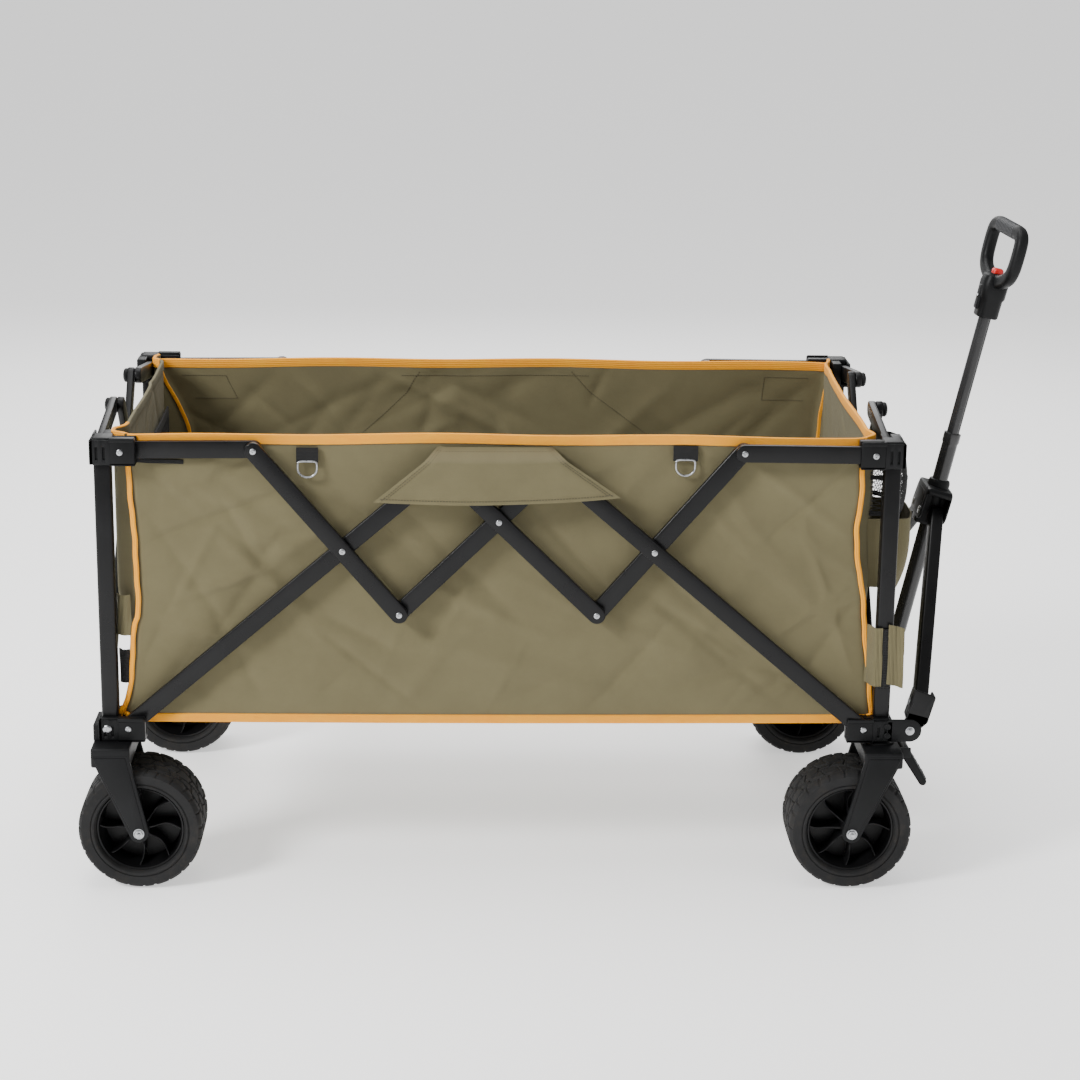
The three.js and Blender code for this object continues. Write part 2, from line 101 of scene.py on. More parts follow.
def ringTaper(points):
    # the outline round several discs, given in order as (u, v, radius): tangent arcs joined by lines
    ring = []
    count = len(points)
    turned = sum(
        points[i - 1][0] * points[i][1] - points[i][0] * points[i - 1][1]
        for i in range(count)
    )
    points = points[::-1] if turned < 0 else points
    for i in range(count):
        p0, p1, p2 = points[i - 1], points[i], points[(i + 1) % count]

        def leaving(a, b):
            d = np.array([b[0] - a[0], b[1] - a[1]])
            far = math.hypot(*d)
            return math.atan2(d[1], d[0]) - math.acos((a[2] - b[2]) / far)

        first, last = leaving(p0, p1), leaving(p1, p2)
        turn = (last - first) % (2 * math.pi)
        a = first + np.linspace(0, turn, max(3, int(turn / 0.2) + 2))
        ring.append(np.stack([p1[0] + p1[2] * np.cos(a), p1[1] + p1[2] * np.sin(a)], 1))
    return np.concatenate(ring)


def inset(ring, depth):
    # every point moves inwards along the mean of its two edge normals
    before = ring - np.roll(ring, 1, 0)
    after = np.roll(ring, -1, 0) - ring

    def normal(edge):
        size = np.maximum(np.hypot(edge[:, 0], edge[:, 1]), 1e-9)
        return np.stack([edge[:, 1] / size, -edge[:, 0] / size], 1) * (size > 2e-9)[:, None]

    both = normal(before) + normal(after)
    both /= np.maximum((both**2).sum(1) / 2, 0.5)[:, None]
    area = (ring[:, 0] * np.roll(ring[:, 1], -1) - ring[:, 1] * np.roll(ring[:, 0], -1)).sum()
    return ring - both * depth * (1 if area > 0 else -1)


def loft(rings, capFirst=True, capLast=True, wrap=False):
    # rings of equal count stitched with quads; the ends are capped, or joined when wrap is set
    rings = np.asarray(rings, float)
    m, n = rings.shape[:2]
    grid = np.arange(m * n).reshape(m, n)
    nxt = np.roll(grid, -1, 1)
    if wrap:
        a, b, c, d = grid, nxt, np.roll(nxt, -1, 0), np.roll(grid, -1, 0)
    else:
        a, b, c, d = grid[:-1], nxt[:-1], nxt[1:], grid[1:]
    faces = np.stack([a, b, c, d], -1).reshape(-1, 4).tolist()
    if not wrap:
        if capFirst:
            faces.append(grid[0][::-1].tolist())
        if capLast:
            faces.append(grid[-1].tolist())
    return rings.reshape(-1, 3), faces


def placed(shell, origin=(0, 0, 0), axes=((1, 0, 0), (0, 1, 0), (0, 0, 1))):
    # u, v, w become origin + u * first axis + v * second axis + w * third axis
    verts, faces = shell
    return np.asarray(origin, float) + verts @ np.asarray(axes, float), faces


def plate(ring, profile, origin=(0, 0, 0), axes=((1, 0, 0), (0, 1, 0), (0, 0, 1))):
    # an outline carried through (inset, height) steps, so its edges are rounded or stepped
    rings = [np.column_stack([inset(ring, d), np.full(len(ring), h)]) for d, h in profile]
    return placed(loft(rings), origin, axes)


def edgeProfile(low, high, bevel, steps=3):
    # heights and insets of a slab whose two rims are quarter-round
    a = np.linspace(0, math.pi / 2, steps + 1)
    first = [(bevel * (1 - math.sin(x)), low + bevel * (1 - math.cos(x))) for x in a]
    last = [(bevel * (1 - math.cos(x)), high - bevel * (1 - math.sin(x))) for x in a]
    return first + last


def block(low, high, bevel=1.5 * mm, steps=3):
    # a box with rounded edges: a rounded rectangle carried up through a quarter-round profile
    low, high = np.asarray(low, float), np.asarray(high, float)
    mid, half = (low + high) / 2, (high - low) / 2
    bevel = min(bevel, half.min() * 0.95)
    rings = []
    for d, h in edgeProfile(-half[2], half[2], bevel, steps):
        ring = ringBox(half[0] - d, half[1] - d, max(bevel - d, 1e-6), steps)
        rings.append(np.column_stack([ring, np.full(len(ring), h)]))
    return placed(loft(rings), mid)


def spun(profile, origin, axis, count=32, closed=False):
    # a profile of (radius, distance along the axis) turned once round the axis
    axis = np.asarray(axis, float) / np.linalg.norm(axis)
    side = np.cross(axis, [0.3, 0.5, 0.81])
    side /= np.linalg.norm(side)
    other = np.cross(axis, side)
    a = np.arange(count) * 2 * math.pi / count
    around = np.cos(a)[:, None] * side + np.sin(a)[:, None] * other
    rings = [np.asarray(origin) + h * axis + max(r, 1e-6) * around for r, h in profile]
    return loft(rings, wrap=closed)


def swept(path, section, up=(0, 0, 1), wrap=False, scale=None):
    # a flat section carried along a path, kept square to it, with its second axis towards "up"
    path = np.asarray(path, float)
    if wrap:
        along = np.roll(path, -1, 0) - np.roll(path, 1, 0)
    else:
        along = np.gradient(path, axis=0)
    along /= np.linalg.norm(along, axis=1)[:, None]
    side = np.cross(along, np.asarray(up, float))
    side /= np.linalg.norm(side, axis=1)[:, None]
    top = np.cross(side, along)
    grow = np.ones(len(path)) if scale is None else np.asarray(scale)
    rings = path[:, None] + grow[:, None, None] * (
        section[None, :, :1] * side[:, None] + section[None, :, 1:] * top[:, None]
    )
    return loft(rings, wrap=wrap)


def smoothPath(points, count=60, closed=False):
    # a Catmull-Rom curve through the points, evaluated as one array
    p = np.asarray(points, float)
    n = len(p)
    if closed:
        t = np.linspace(0, n, count, endpoint=False)
        i = np.floor(t).astype(int)
        q = [p[(i + k) % n] for k in (-1, 0, 1, 2)]
    else:
        t = np.linspace(0, n - 1, count)
        i = np.minimum(np.floor(t).astype(int), n - 2)
        ext = np.vstack([2 * p[0] - p[1], p, 2 * p[-1] - p[-2]])
        q = [ext[i + k] for k in range(4)]
    f = (t - i)[:, None]
    return 0.5 * (
        2 * q[1]
        + (q[2] - q[0]) * f
        + (2 * q[0] - 5 * q[1] + 4 * q[2] - q[3]) * f**2
        + (3 * q[1] - q[0] - 3 * q[2] + q[3]) * f**3
    )


def joined(*shells):
    # several shells as one, each keeping its own closed surface
    verts, faces, base = [], [], 0
    for v, f in shells:
        verts.append(v)
        faces += [[i + base for i in face] for face in f]
        base += len(v)
    return np.concatenate(verts), faces


def cornerPlace(shell, sx, sy):
    # a piece drawn in the front far corner, about the basket's middle, goes to any corner
    verts, faces = shell
    return verts * [sx, sy, 1] + [middleX, 0, 0], faces


def makePiece(name, shell, material, body, slot, nodes=(), sharp=35, uv=None):
    # one closed mesh with its material, riding a body, and standing for the nodes it replaces
    verts, faces = shell
    mesh = bpy.data.meshes.new(name)
    mesh.from_pydata(np.asarray(verts).tolist(), [], faces)
    if uv is not None:
        layer = mesh.uv_layers.new(name="UVMap")
        index = np.empty(len(mesh.loops), int)
        mesh.loops.foreach_get("vertex_index", index)
        layer.data.foreach_set("uv", np.asarray(uv, float)[index].ravel())
    piece = bpy.data.objects.new(name, mesh)
    bpy.context.scene.collection.objects.link(piece)
    edit = bmesh.new()
    edit.from_mesh(mesh)
    bmesh.ops.remove_doubles(edit, verts=edit.verts, dist=2e-6)
    bmesh.ops.dissolve_degenerate(edit, edges=edit.edges, dist=1e-7)
    bmesh.ops.recalc_face_normals(edit, faces=edit.faces)
    edit.to_mesh(mesh)
    edit.free()
    mesh.polygons.foreach_set("use_smooth", [True] * len(mesh.polygons))
    mesh.set_sharp_from_angle(angle=math.radians(sharp))
    mesh.materials.append(material)
    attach(piece, body)
    if nodes:
        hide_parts(*nodes)
    return piece


def newMaterial(name):
    material = bpy.data.materials.new(name)
    material.use_nodes = True
    tree = material.node_tree
    shader = tree.nodes["Principled BSDF"]
    coord = tree.nodes.new("ShaderNodeTexCoord")
    return material, tree, shader, coord


def noiseNode(tree, coord, output, scale, detail=4.0, roughness=0.55, stretch=None):
    source = coord.outputs[output]
    if stretch:
        mapping = tree.nodes.new("ShaderNodeMapping")
        mapping.inputs["Scale"].default_value = stretch
        tree.links.new(source, mapping.inputs["Vector"])
        source = mapping.outputs["Vector"]
    noise = tree.nodes.new("ShaderNodeTexNoise")
    noise.inputs["Scale"].default_value = scale
    noise.inputs["Detail"].default_value = detail
    noise.inputs["Roughness"].default_value = roughness
    tree.links.new(source, noise.inputs["Vector"])
    return noise.outputs["Fac"]


def rampNode(tree, source, stops):
    ramp = tree.nodes.new("ShaderNodeValToRGB")
    while len(ramp.color_ramp.elements) < len(stops):
        ramp.color_ramp.elements.new(0.5)
    for element, (at, color) in zip(ramp.color_ramp.elements, stops):
        element.position = at
        element.color = (*color, 1) if len(color) == 3 else color
    tree.links.new(source, ramp.inputs["Fac"])
    return ramp.outputs["Color"]


def mixColor(tree, factor, a, b, kind="MIX"):
    mix = tree.nodes.new("ShaderNodeMix")
    mix.data_type = "RGBA"
    mix.blend_type = kind
    for socket, value in ((mix.inputs[0], factor), (mix.inputs[6], a), (mix.inputs[7], b)):
        if isinstance(value, (int, float)):
            socket.default_value = value
        elif isinstance(value, tuple):
            socket.default_value = (*value, 1)
        else:
            tree.links.new(value, socket)
    return mix.outputs[2]


def mathNode(tree, kind, a, b=0.0):
    node = tree.nodes.new("ShaderNodeMath")
    node.operation = kind
    for socket, value in zip(node.inputs, (a, b)):
        if isinstance(value, (int, float)):
            socket.default_value = value
        else:
            tree.links.new(value, socket)
    return node.outputs[0]


def bumpInto(tree, shader, layers):
    # height layers given as (source, strength, distance), chained one on another
    normal = None
    for source, strength, distance in layers:
        bump = tree.nodes.new("ShaderNodeBump")
        bump.inputs["Strength"].default_value = strength
        bump.inputs["Distance"].default_value = distance
        tree.links.new(source, bump.inputs["Height"])
        if normal is not None:
            tree.links.new(normal, bump.inputs["Normal"])
        normal = bump.outputs["Normal"]
    tree.links.new(normal, shader.inputs["Normal"])


def hardMaterial(name, dark, light, roughness, grain, metallic=0.0, depth=0.0002, dust=None, gloss=0.5):
    # a moulded, coated or rubber surface: mottled colour, uneven gloss and a fine grain
    material, tree, shader, coord = newMaterial(name)
    broad = noiseNode(tree, coord, "Object", 14, 5)
    fine = noiseNode(tree, coord, "Object", grain, 3, 0.6)
    color = rampNode(tree, broad, [(0.3, dark), (0.72, light)])
    if dust:
        patch = rampNode(
            tree, noiseNode(tree, coord, "Object", 45, 6, 0.7),
            [(0.5, (0, 0, 0)), (0.75, (1, 1, 1))],
        )
        share = mathNode(tree, "MULTIPLY", patch, dust[1])
        color = mixColor(tree, share, color, dust[0])
    tree.links.new(color, shader.inputs["Base Color"])
    spread = rampNode(tree, broad, [(0.25, (roughness - 0.08,) * 3), (0.75, (roughness + 0.08,) * 3)])
    tree.links.new(spread, shader.inputs["Roughness"])
    shader.inputs["Metallic"].default_value = metallic
    shader.inputs["Specular IOR Level"].default_value = gloss
    bumpInto(tree, shader, [(broad, 0.15, 0.0006), (fine, 0.35, depth)])
    return material


def clothMaterial(name, dark, light, threads, rough=0.85, sheen=0.06, mottle=7.0, rib=None):
    # plain weave from two crossed sets of threads, with uneven dye and slubs
    material, tree, shader, coord = newMaterial(name)
    split = tree.nodes.new("ShaderNodeSeparateXYZ")
    tree.links.new(coord.outputs["UV"], split.inputs[0])
    warp = mathNode(tree, "SINE", mathNode(tree, "MULTIPLY", split.outputs[0], threads * 2 * math.pi))
    weft = mathNode(tree, "SINE", mathNode(tree, "MULTIPLY", split.outputs[1], threads * 2 * math.pi))
    weave = mathNode(tree, "MULTIPLY", warp, weft)
    slubU = noiseNode(tree, coord, "UV", 90, 3, 0.6, (0.25, 9, 1))
    slubV = noiseNode(tree, coord, "UV", 90, 3, 0.6, (9, 0.25, 1))
    slub = mathNode(tree, "ADD", slubU, slubV)
    broad = noiseNode(tree, coord, "UV", mottle, 7, 0.7)
    color = rampNode(tree, broad, [(0.2, dark), (0.8, light)])
    slubColor = rampNode(tree, slub, [(0.35, (0.72,) * 3), (0.62, (1.06,) * 3)])
    color = mixColor(tree, 0.5, color, slubColor, "MULTIPLY")
    weaveColor = rampNode(tree, weave, [(0.2, (0.86,) * 3), (0.8, (1.05,) * 3)])
    color = mixColor(tree, 0.6, color, weaveColor, "MULTIPLY")
    tree.links.new(color, shader.inputs["Base Color"])
    spread = rampNode(tree, slub, [(0.3, (rough - 0.07,) * 3), (0.7, (min(rough + 0.07, 1),) * 3)])
    tree.links.new(spread, shader.inputs["Roughness"])
    shader.inputs["Sheen Weight"].default_value = sheen
    shader.inputs["Sheen Roughness"].default_value = 0.5
    layers = [(slub, 0.25, 0.0005), (weave, 0.4, 0.0002)]
    if rib:
        ribs = mathNode(
            tree, "SINE", mathNode(tree, "MULTIPLY", split.outputs[rib[0]], rib[1] * 2 * math.pi)
        )
        layers.append((ribs, 0.6, rib[2]))
    bumpInto(tree, shader, layers)
    return material


def steelMaterial():
    # zinc plate: bright metal with fine turning marks and a little clouding
    material, tree, shader, coord = newMaterial("zincSteel")
    cloud = noiseNode(tree, coord, "Object", 160, 4)
    tree.links.new(
        rampNode(tree, cloud, [(0.3, (0.28, 0.285, 0.3)), (0.7, (0.5, 0.51, 0.52))]),
        shader.inputs["Base Color"],
    )
    tree.links.new(
        rampNode(tree, cloud, [(0.3, (0.22,) * 3), (0.7, (0.4,) * 3)]), shader.inputs["Roughness"]
    )
    shader.inputs["Metallic"].default_value = 1.0
    bumpInto(tree, shader, [(noiseNode(tree, coord, "Object", 900, 2), 0.2, 0.00005)])
    return material


coatBlack = hardMaterial(
    "powderCoatBlack", (0.0035, 0.0035, 0.0038), (0.0075, 0.0075, 0.008), 0.3, 1500, 0.0, 0.00012,
    None, 0.2,
)
tubeGrey = hardMaterial(
    "tubeDarkGrey", (0.012, 0.012, 0.0125), (0.02, 0.02, 0.021), 0.24, 900, 0.0, 0.00008, None, 0.5
)
mouldBlack = hardMaterial(
    "mouldedBlack", (0.004, 0.0042, 0.0045), (0.009, 0.0093, 0.01), 0.45, 1100, 0.0, 0.00018, None,
    0.15,
)
gripGrey = hardMaterial(
    "gripDarkGrey", (0.028, 0.029, 0.031), (0.045, 0.046, 0.05), 0.5, 1400, 0.0, 0.0002, None, 0.35
)
treadBlack = hardMaterial(
    "treadRubber", (0.012, 0.012, 0.0122), (0.022, 0.022, 0.0225), 0.7, 500, 0.0, 0.0005,
    ((0.07, 0.055, 0.04), 0.22), 0.15,
)
rimBlack = hardMaterial(
    "rimPlastic", (0.003, 0.003, 0.0032), (0.007, 0.007, 0.0075), 0.36, 900, 0.0, 0.00015, None, 0.2
)
redPlastic = hardMaterial(
    "releaseRed", (0.55, 0.008, 0.006), (0.72, 0.018, 0.012), 0.35, 1200, 0.0, 0.00005
)
zincSteel = steelMaterial()
oliveCloth = clothMaterial("oliveCloth", (0.112, 0.096, 0.046), (0.156, 0.136, 0.068), 1100)
orangeTape = clothMaterial(
    "orangeTape", (0.95, 0.33, 0.0), (1.0, 0.44, 0.0), 900, 0.75, 0.1, 20, (1, 330, 0.0004)
)
blackWeb = clothMaterial(
    "blackWebbing", (0.003, 0.003, 0.003), (0.008, 0.008, 0.008), 500, 0.9, 0.05, 30,
    (1, 400, 0.0006),
)
print("materials made")


steelBar = {"bevel": 1.8 * mm, "postCorner": 4 * mm, "rivet": 4.5 * mm, "rivetHigh": 1.7 * mm}
corners = [("rear_near", -1, -1), ("rear_far", -1, 1), ("front_near", 1, -1), ("front_far", 1, 1)]


def rivetShell(center, axis, radius=steelBar["rivet"], high=steelBar["rivetHigh"]):
    # a shallow dome whose height falls with the square of the radius, with a punched dimple
    center, axis = np.asarray(center, float), np.asarray(axis, float)
    r = np.array([1.0, 1.0, 0.93, 0.8, 0.6, 0.42, 0.3, 0.24, 0.0])
    h = np.array([-0.3, 0.35, 0.62, 0.8, 0.93, 1.0, 0.97, 0.6, 0.5])
    return spun(np.column_stack([r * radius, h * high]), center, axis, 24)


for name, sx, sy in corners:
    low, high = nodeBox(f"{name}_post")
    mid = (low + high) / 2
    half = (high - low) / 2
    ring = ringBox(half[0], half[1], steelBar["postCorner"], 5)
    shell = plate(ring, edgeProfile(low[2], high[2], 0.6 * mm, 2), (mid[0], mid[1], 0))
    makePiece(f"{name}_post_tube", shell, coatBlack, name, "frame", [f"{name}_post"])

risesToFront = {"long_arm_rear", "cross_arm_inner", "short_arm_front", "stub_rear"}
# heads on the outer layer, as shares of the length from the link's lower end
linkRivets = {
    "short_arm_rear": (0.0, 0.3931, 1.0),
    "long_arm_front": (0.6856, 1.0),
    "cross_arm_outer": (0.0, 0.6389, 1.0),
    "stub_front": (1.0,),
}
linkHalf = 12.5 * mm
linkThick = 10 * mm


def linkEnds(node, along, rising):
    low, high = nodeBox(node)
    a = np.array([low[along] + linkHalf, low[2] + linkHalf])
    b = np.array([high[along] - linkHalf, high[2] - linkHalf])
    if not rising:
        a, b = np.array([b[0], a[1]]), np.array([a[0], b[1]])
    return a, b


def linkPieces(node, along, outward, rising, rivets, capMaterial, capSlot, cap=False):
    # a flat bar with round ends and rolled edges lies between its pivots in its own layer
    across = 1 - along
    layer = pivot(node + "_turn")[across]
    a, b = linkEnds(node, along, rising)
    run = (b - a) / np.linalg.norm(b - a)
    u, v, w = np.zeros(3), np.zeros(3), np.zeros(3)
    u[along], u[2] = run
    w[across] = outward
    v = np.cross(w, u)
    start = np.zeros(3)
    start[along], start[across], start[2] = a[0], layer, a[1]
    length = np.linalg.norm(b - a)
    t = linkThick / 2
    profile = edgeProfile(-t, t, steelBar["bevel"], 3)
    bar = plate(ringStadium(length, linkHalf, 12), profile, start, (u, v, w))
    makePiece(node + "_bar", bar, coatBlack, node, "frame", [node], 30)
    if rivets:
        heads = []
        for share in rivets:
            center = start + u * length * share + w * t
            if cap:
                heads.append(
                    spun(
                        np.array([(10.5, 0), (11, 1), (11, 4), (9, 6.2), (5, 7.4), (0, 7.8)]) * mm,
                        center, w, 28,
                    )
                )
            else:
                heads.append(rivetShell(center, w))
        makePiece(node + ("_caps" if cap else "_rivets"), joined(*heads), capMaterial, node, capSlot)


for which, sy in (("near", -1), ("far", 1)):
    for kind in ("long_arm_rear", "long_arm_front", "short_arm_rear", "short_arm_front",
                 "cross_arm_inner", "cross_arm_outer", "stub_rear", "stub_front"):
        linkPieces(
            f"{which}_{kind}", 0, sy, kind in risesToFront, linkRivets.get(kind), zincSteel, "steel"
        )
for which, outward, outer in (("rear", -1, "near"), ("front", 1, "far")):
    for hand in ("near", "far"):
        armCaps = (0.7116, 1.0) if hand == outer else None
        linkPieces(
            f"{which}_end_arm_{hand}", 1, outward, hand == "near", armCaps, mouldBlack, "moulding",
            True,
        )
        stubCaps = (1.0,) if hand == outer else None
        linkPieces(
            f"{which}_end_stub_{hand}", 1, outward, hand == "near", stubCaps, mouldBlack,
            "moulding", True,
        )
print("posts and links made")


bracketForm = {
    "bevel": 1.6 * mm, "ribDepth": 3.2 * mm, "floor": 5 * mm, "sideIn": 285.4 * mm,
    "sideOut": 312.5 * mm, "endIn": 546.5 * mm, "endOut": 575 * mm, "wing": 511 * mm,
    "baseWing": 508 * mm, "endWing": 248 * mm, "rivetX": 532 * mm, "rivetY": 264 * mm,
    "ribGap": (2 * mm, 2.5 * mm), "ribBack": 6 * mm, "ribBevel": 1.3 * mm,
    "slots": (1.5 * mm, 1.3 * mm), "bands": (9 * mm, 13 * mm), "bandBack": 0.15 * mm,
    "socketWall": 3 * mm, "cheek": 1.2 * mm, "topGap": 1.5 * mm, "lip": (1 * mm, 6 * mm, 0.9 * mm),
}


def bracketShell(zLow, zHigh, wingX, sideLayer, endLayer):
    # a ribbed socket round the post, with a slotted wing along the side and another along the end
    f = bracketForm
    t = linkThick / 2 + 0.5 * mm
    out = f["sideOut"]
    shells = []
    socketIn = postX - postHalf - f["socketWall"]
    sockInY = postY - postHalf - f["socketWall"]
    d = f["ribDepth"]
    endFace = f["endOut"]
    shells.append(block((socketIn, sockInY, zLow), (endFace - d, out - d, zHigh), 3.2 * mm, 4))
    ribLow, ribHigh = zLow + f["ribGap"][0], zHigh - f["ribGap"][1]
    deep, round0 = f["ribBack"], f["ribBevel"]

    def ribSpans(first, last, slot):
        # three equal ribs between first and last, parted by two slots
        wide = (last - first) / 3
        return [
            (
                first + k * wide + (0 if k == 0 else slot),
                first + (k + 1) * wide - (0 if k == 2 else slot),
            )
            for k in range(3)
        ]

    for x0, x1 in ribSpans(socketIn, endFace, f["slots"][0]):
        shells.append(block((x0, out - deep, ribLow), (x1, out, ribHigh), round0))
    for y0, y1 in ribSpans(sockInY, out, f["slots"][1]):
        shells.append(block((endFace - deep, y0, ribLow), (endFace, y1, ribHigh), round0))
    back = f["bandBack"]
    for z0, z1 in ((ribLow, zLow + f["bands"][0]), (zHigh - f["bands"][1], ribHigh)):
        shells.append(block((socketIn, out - deep, z0), (endFace - d, out - back, z1), round0))
        shells.append(block((endFace - deep, sockInY, z0), (endFace - back, out - d, z1), round0))
    # each wing has an outer and an inner cheek, with a floor between them
    reach = socketIn + f["socketWall"]
    top = zHigh - f["topGap"]
    side, cheek, bevel = f["sideIn"], f["cheek"], f["bevel"]
    over, drop, proud = f["lip"]
    shells.append(block((wingX, sideLayer + t, zLow), (reach, out, top), bevel))
    shells.append(block((wingX, side, zLow), (reach, sideLayer - t, top), cheek))
    shells.append(block((wingX, side, zLow), (reach, out, zLow + f["floor"]), bevel))
    shells.append(
        block((wingX + over, sideLayer + t, zHigh - drop), (reach, out + proud, zHigh), round0)
    )
    reach = sockInY + f["socketWall"]
    end, wing = f["endIn"], f["endWing"]
    shells.append(block((endLayer + t, wing, zLow), (endFace, reach, top), bevel))
    shells.append(block((end, wing, zLow), (endLayer - t, reach, top), cheek))
    shells.append(block((end, wing, zLow), (endFace, reach, zLow + f["floor"]), bevel))
    return joined(*shells)


def bracketRivets(z, extra=()):
    f = bracketForm
    heads = [
        rivetShell((f["rivetX"], f["sideOut"] + 0.4 * mm, z), (0, 1, 0)),
        rivetShell((f["endOut"], f["rivetY"], z), (1, 0, 0)),
    ]
    for x, zz, r in extra:
        heads.append(rivetShell((x, f["sideOut"] + 0.2 * mm, zz), (0, 1, 0), r))
    return joined(*heads)


layerOf = {}
for name, sx, sy in corners:
    side, end = name.split("_")
    stub = f"{end}_stub_{side}"
    sideLayer = abs(pivot(stub + "_turn")[1])
    endLayer = abs(pivot(f"{side}_end_stub_{end}_turn")[0] - middleX)
    layerOf[name] = (sideLayer, endLayer)
    low, high = nodeBox(f"{name}_top_bracket")
    shell = bracketShell(low[2], high[2], bracketForm["wing"], sideLayer, endLayer)
    makePiece(
        f"{name}_top_bracket_shell", cornerPlace(shell, sx, sy), mouldBlack, name, "moulding",
        [f"{name}_top_bracket"], 30,
    )
    makePiece(
        f"{name}_top_rivets", cornerPlace(bracketRivets((low[2] + high[2]) / 2), sx, sy), zincSteel,
        name, "steel",
    )
print("top brackets made")


forkForm = {
    "wheelX": 517 * mm, "axleZ": 90 * mm, "inner": (postY - 58 * mm, postY + 48 * mm), "arm": 8 * mm,
    "crownLow": 190 * mm, "crownHalf": 28 * mm, "eye": 14.4 * mm, "bevel": 2 * mm, "nut": 6.8 * mm,
    "rearCrown": 555 * mm, "axle": 6 * mm,
}
brakeForm = {
    "eye": (595 * mm, 204 * mm), "slope": (33.0, -54.0), "length": 55 * mm,
    "thick": (7.4 * mm, 5.6 * mm), "across": (261 * mm, 309 * mm), "ribs": 5, "ribFirst": 18,
    "ribStep": 9, "ribRadius": 1.5 * mm, "ribAcross": (266 * mm, 285 * mm, 304 * mm), "pin": 3 * mm,
}


def forkShell(crownX, crownTop):
    # a crown box over two arms; an arm's outline is the tangent hull of three discs
    f = forkForm
    inner, outer = f["inner"]
    arm = f["arm"]
    half, step = f["crownHalf"], 1.6 * mm
    crownLow = (crownX - half, inner - arm + step, f["crownLow"])
    shells = [block(crownLow, (crownX + half, outer + arm - step, crownTop), 3 * mm)]
    discs = [
        (f["wheelX"], f["axleZ"], f["eye"]),
        (crownX + 24 * mm, 206 * mm, 4 * mm),
        (crownX - 22 * mm, 206 * mm, 4 * mm),
    ]
    ring = ringTaper(discs)
    shrink = ringTaper([
        (f["wheelX"], f["axleZ"], 9 * mm),
        (crownX + 21 * mm, 203 * mm, 3 * mm),
        (crownX - 19 * mm, 203 * mm, 3 * mm),
    ])
    for y0, s in ((inner, -1), (outer, 1)):
        axes = ((1, 0, 0), (0, 0, 1), (0, s, 0))
        shells.append(plate(ring, edgeProfile(0, arm - 1.2 * mm, f["bevel"], 3), (0, y0, 0), axes))
        shells.append(plate(shrink, edgeProfile(arm - 3 * mm, arm, 1.2 * mm, 2), (0, y0, 0), axes))
    return joined(*shells)


def hexNut(center, axis, radius, high):
    # a six-sided nut with a turned chamfer, and the rounded end of its bolt
    a = ringCircle(radius, 6)
    axis = np.asarray(axis, float)
    u = np.cross(axis, (0, 0, 1.0)) if abs(axis[2]) < 0.9 else np.array([1.0, 0, 0])
    v = np.cross(axis, u)
    nut = plate(a, [(0, 0), (0, high * 0.8), (radius * 0.12, high)], center, (u, v, axis))
    stud = spun(
        [
            (radius * 0.5, high * 0.9), (radius * 0.5, high * 1.25), (radius * 0.36, high * 1.4),
            (0, high * 1.42),
        ],
        center, axis, 20,
    )
    washer = spun(
        [(radius * 1.15, -0.4 * mm), (radius * 1.15, 0.8 * mm), (radius * 0.9, 1 * mm)], center,
        axis, 28,
    )
    return joined(nut, stud, washer)


def axleShell():
    # the axle across the fork, with a nut at each end
    f = forkForm
    inner, outer = f["inner"]
    arm = f["arm"]
    x, z, radius = f["wheelX"], f["axleZ"], f["axle"]
    rod = spun([(radius, inner - 2 * mm), (radius, outer + 2 * mm)], (x, 0, z), (0, 1, 0), 24)
    a = hexNut((x, inner - arm, z), (0, -1, 0), f["nut"], 4 * mm)
    b = hexNut((x, outer + arm, z), (0, 1, 0), f["nut"], 4 * mm)
    return joined(rod, a, b)


baseForm = {
    "high": 36 * mm, "rivetRise": 20 * mm, "boltX": 562 * mm, "bolt": 6.3 * mm, "lug": 17 * mm,
    "lugThick": 3.5 * mm, "plugX": 567 * mm, "plugRise": (11 * mm, 25 * mm), "swivelTop": 214 * mm,
    "ears": (256 * mm, 310 * mm),
}
uprightAxes = ((1, 0, 0), (0, 0, 1), (0, 1, 0))

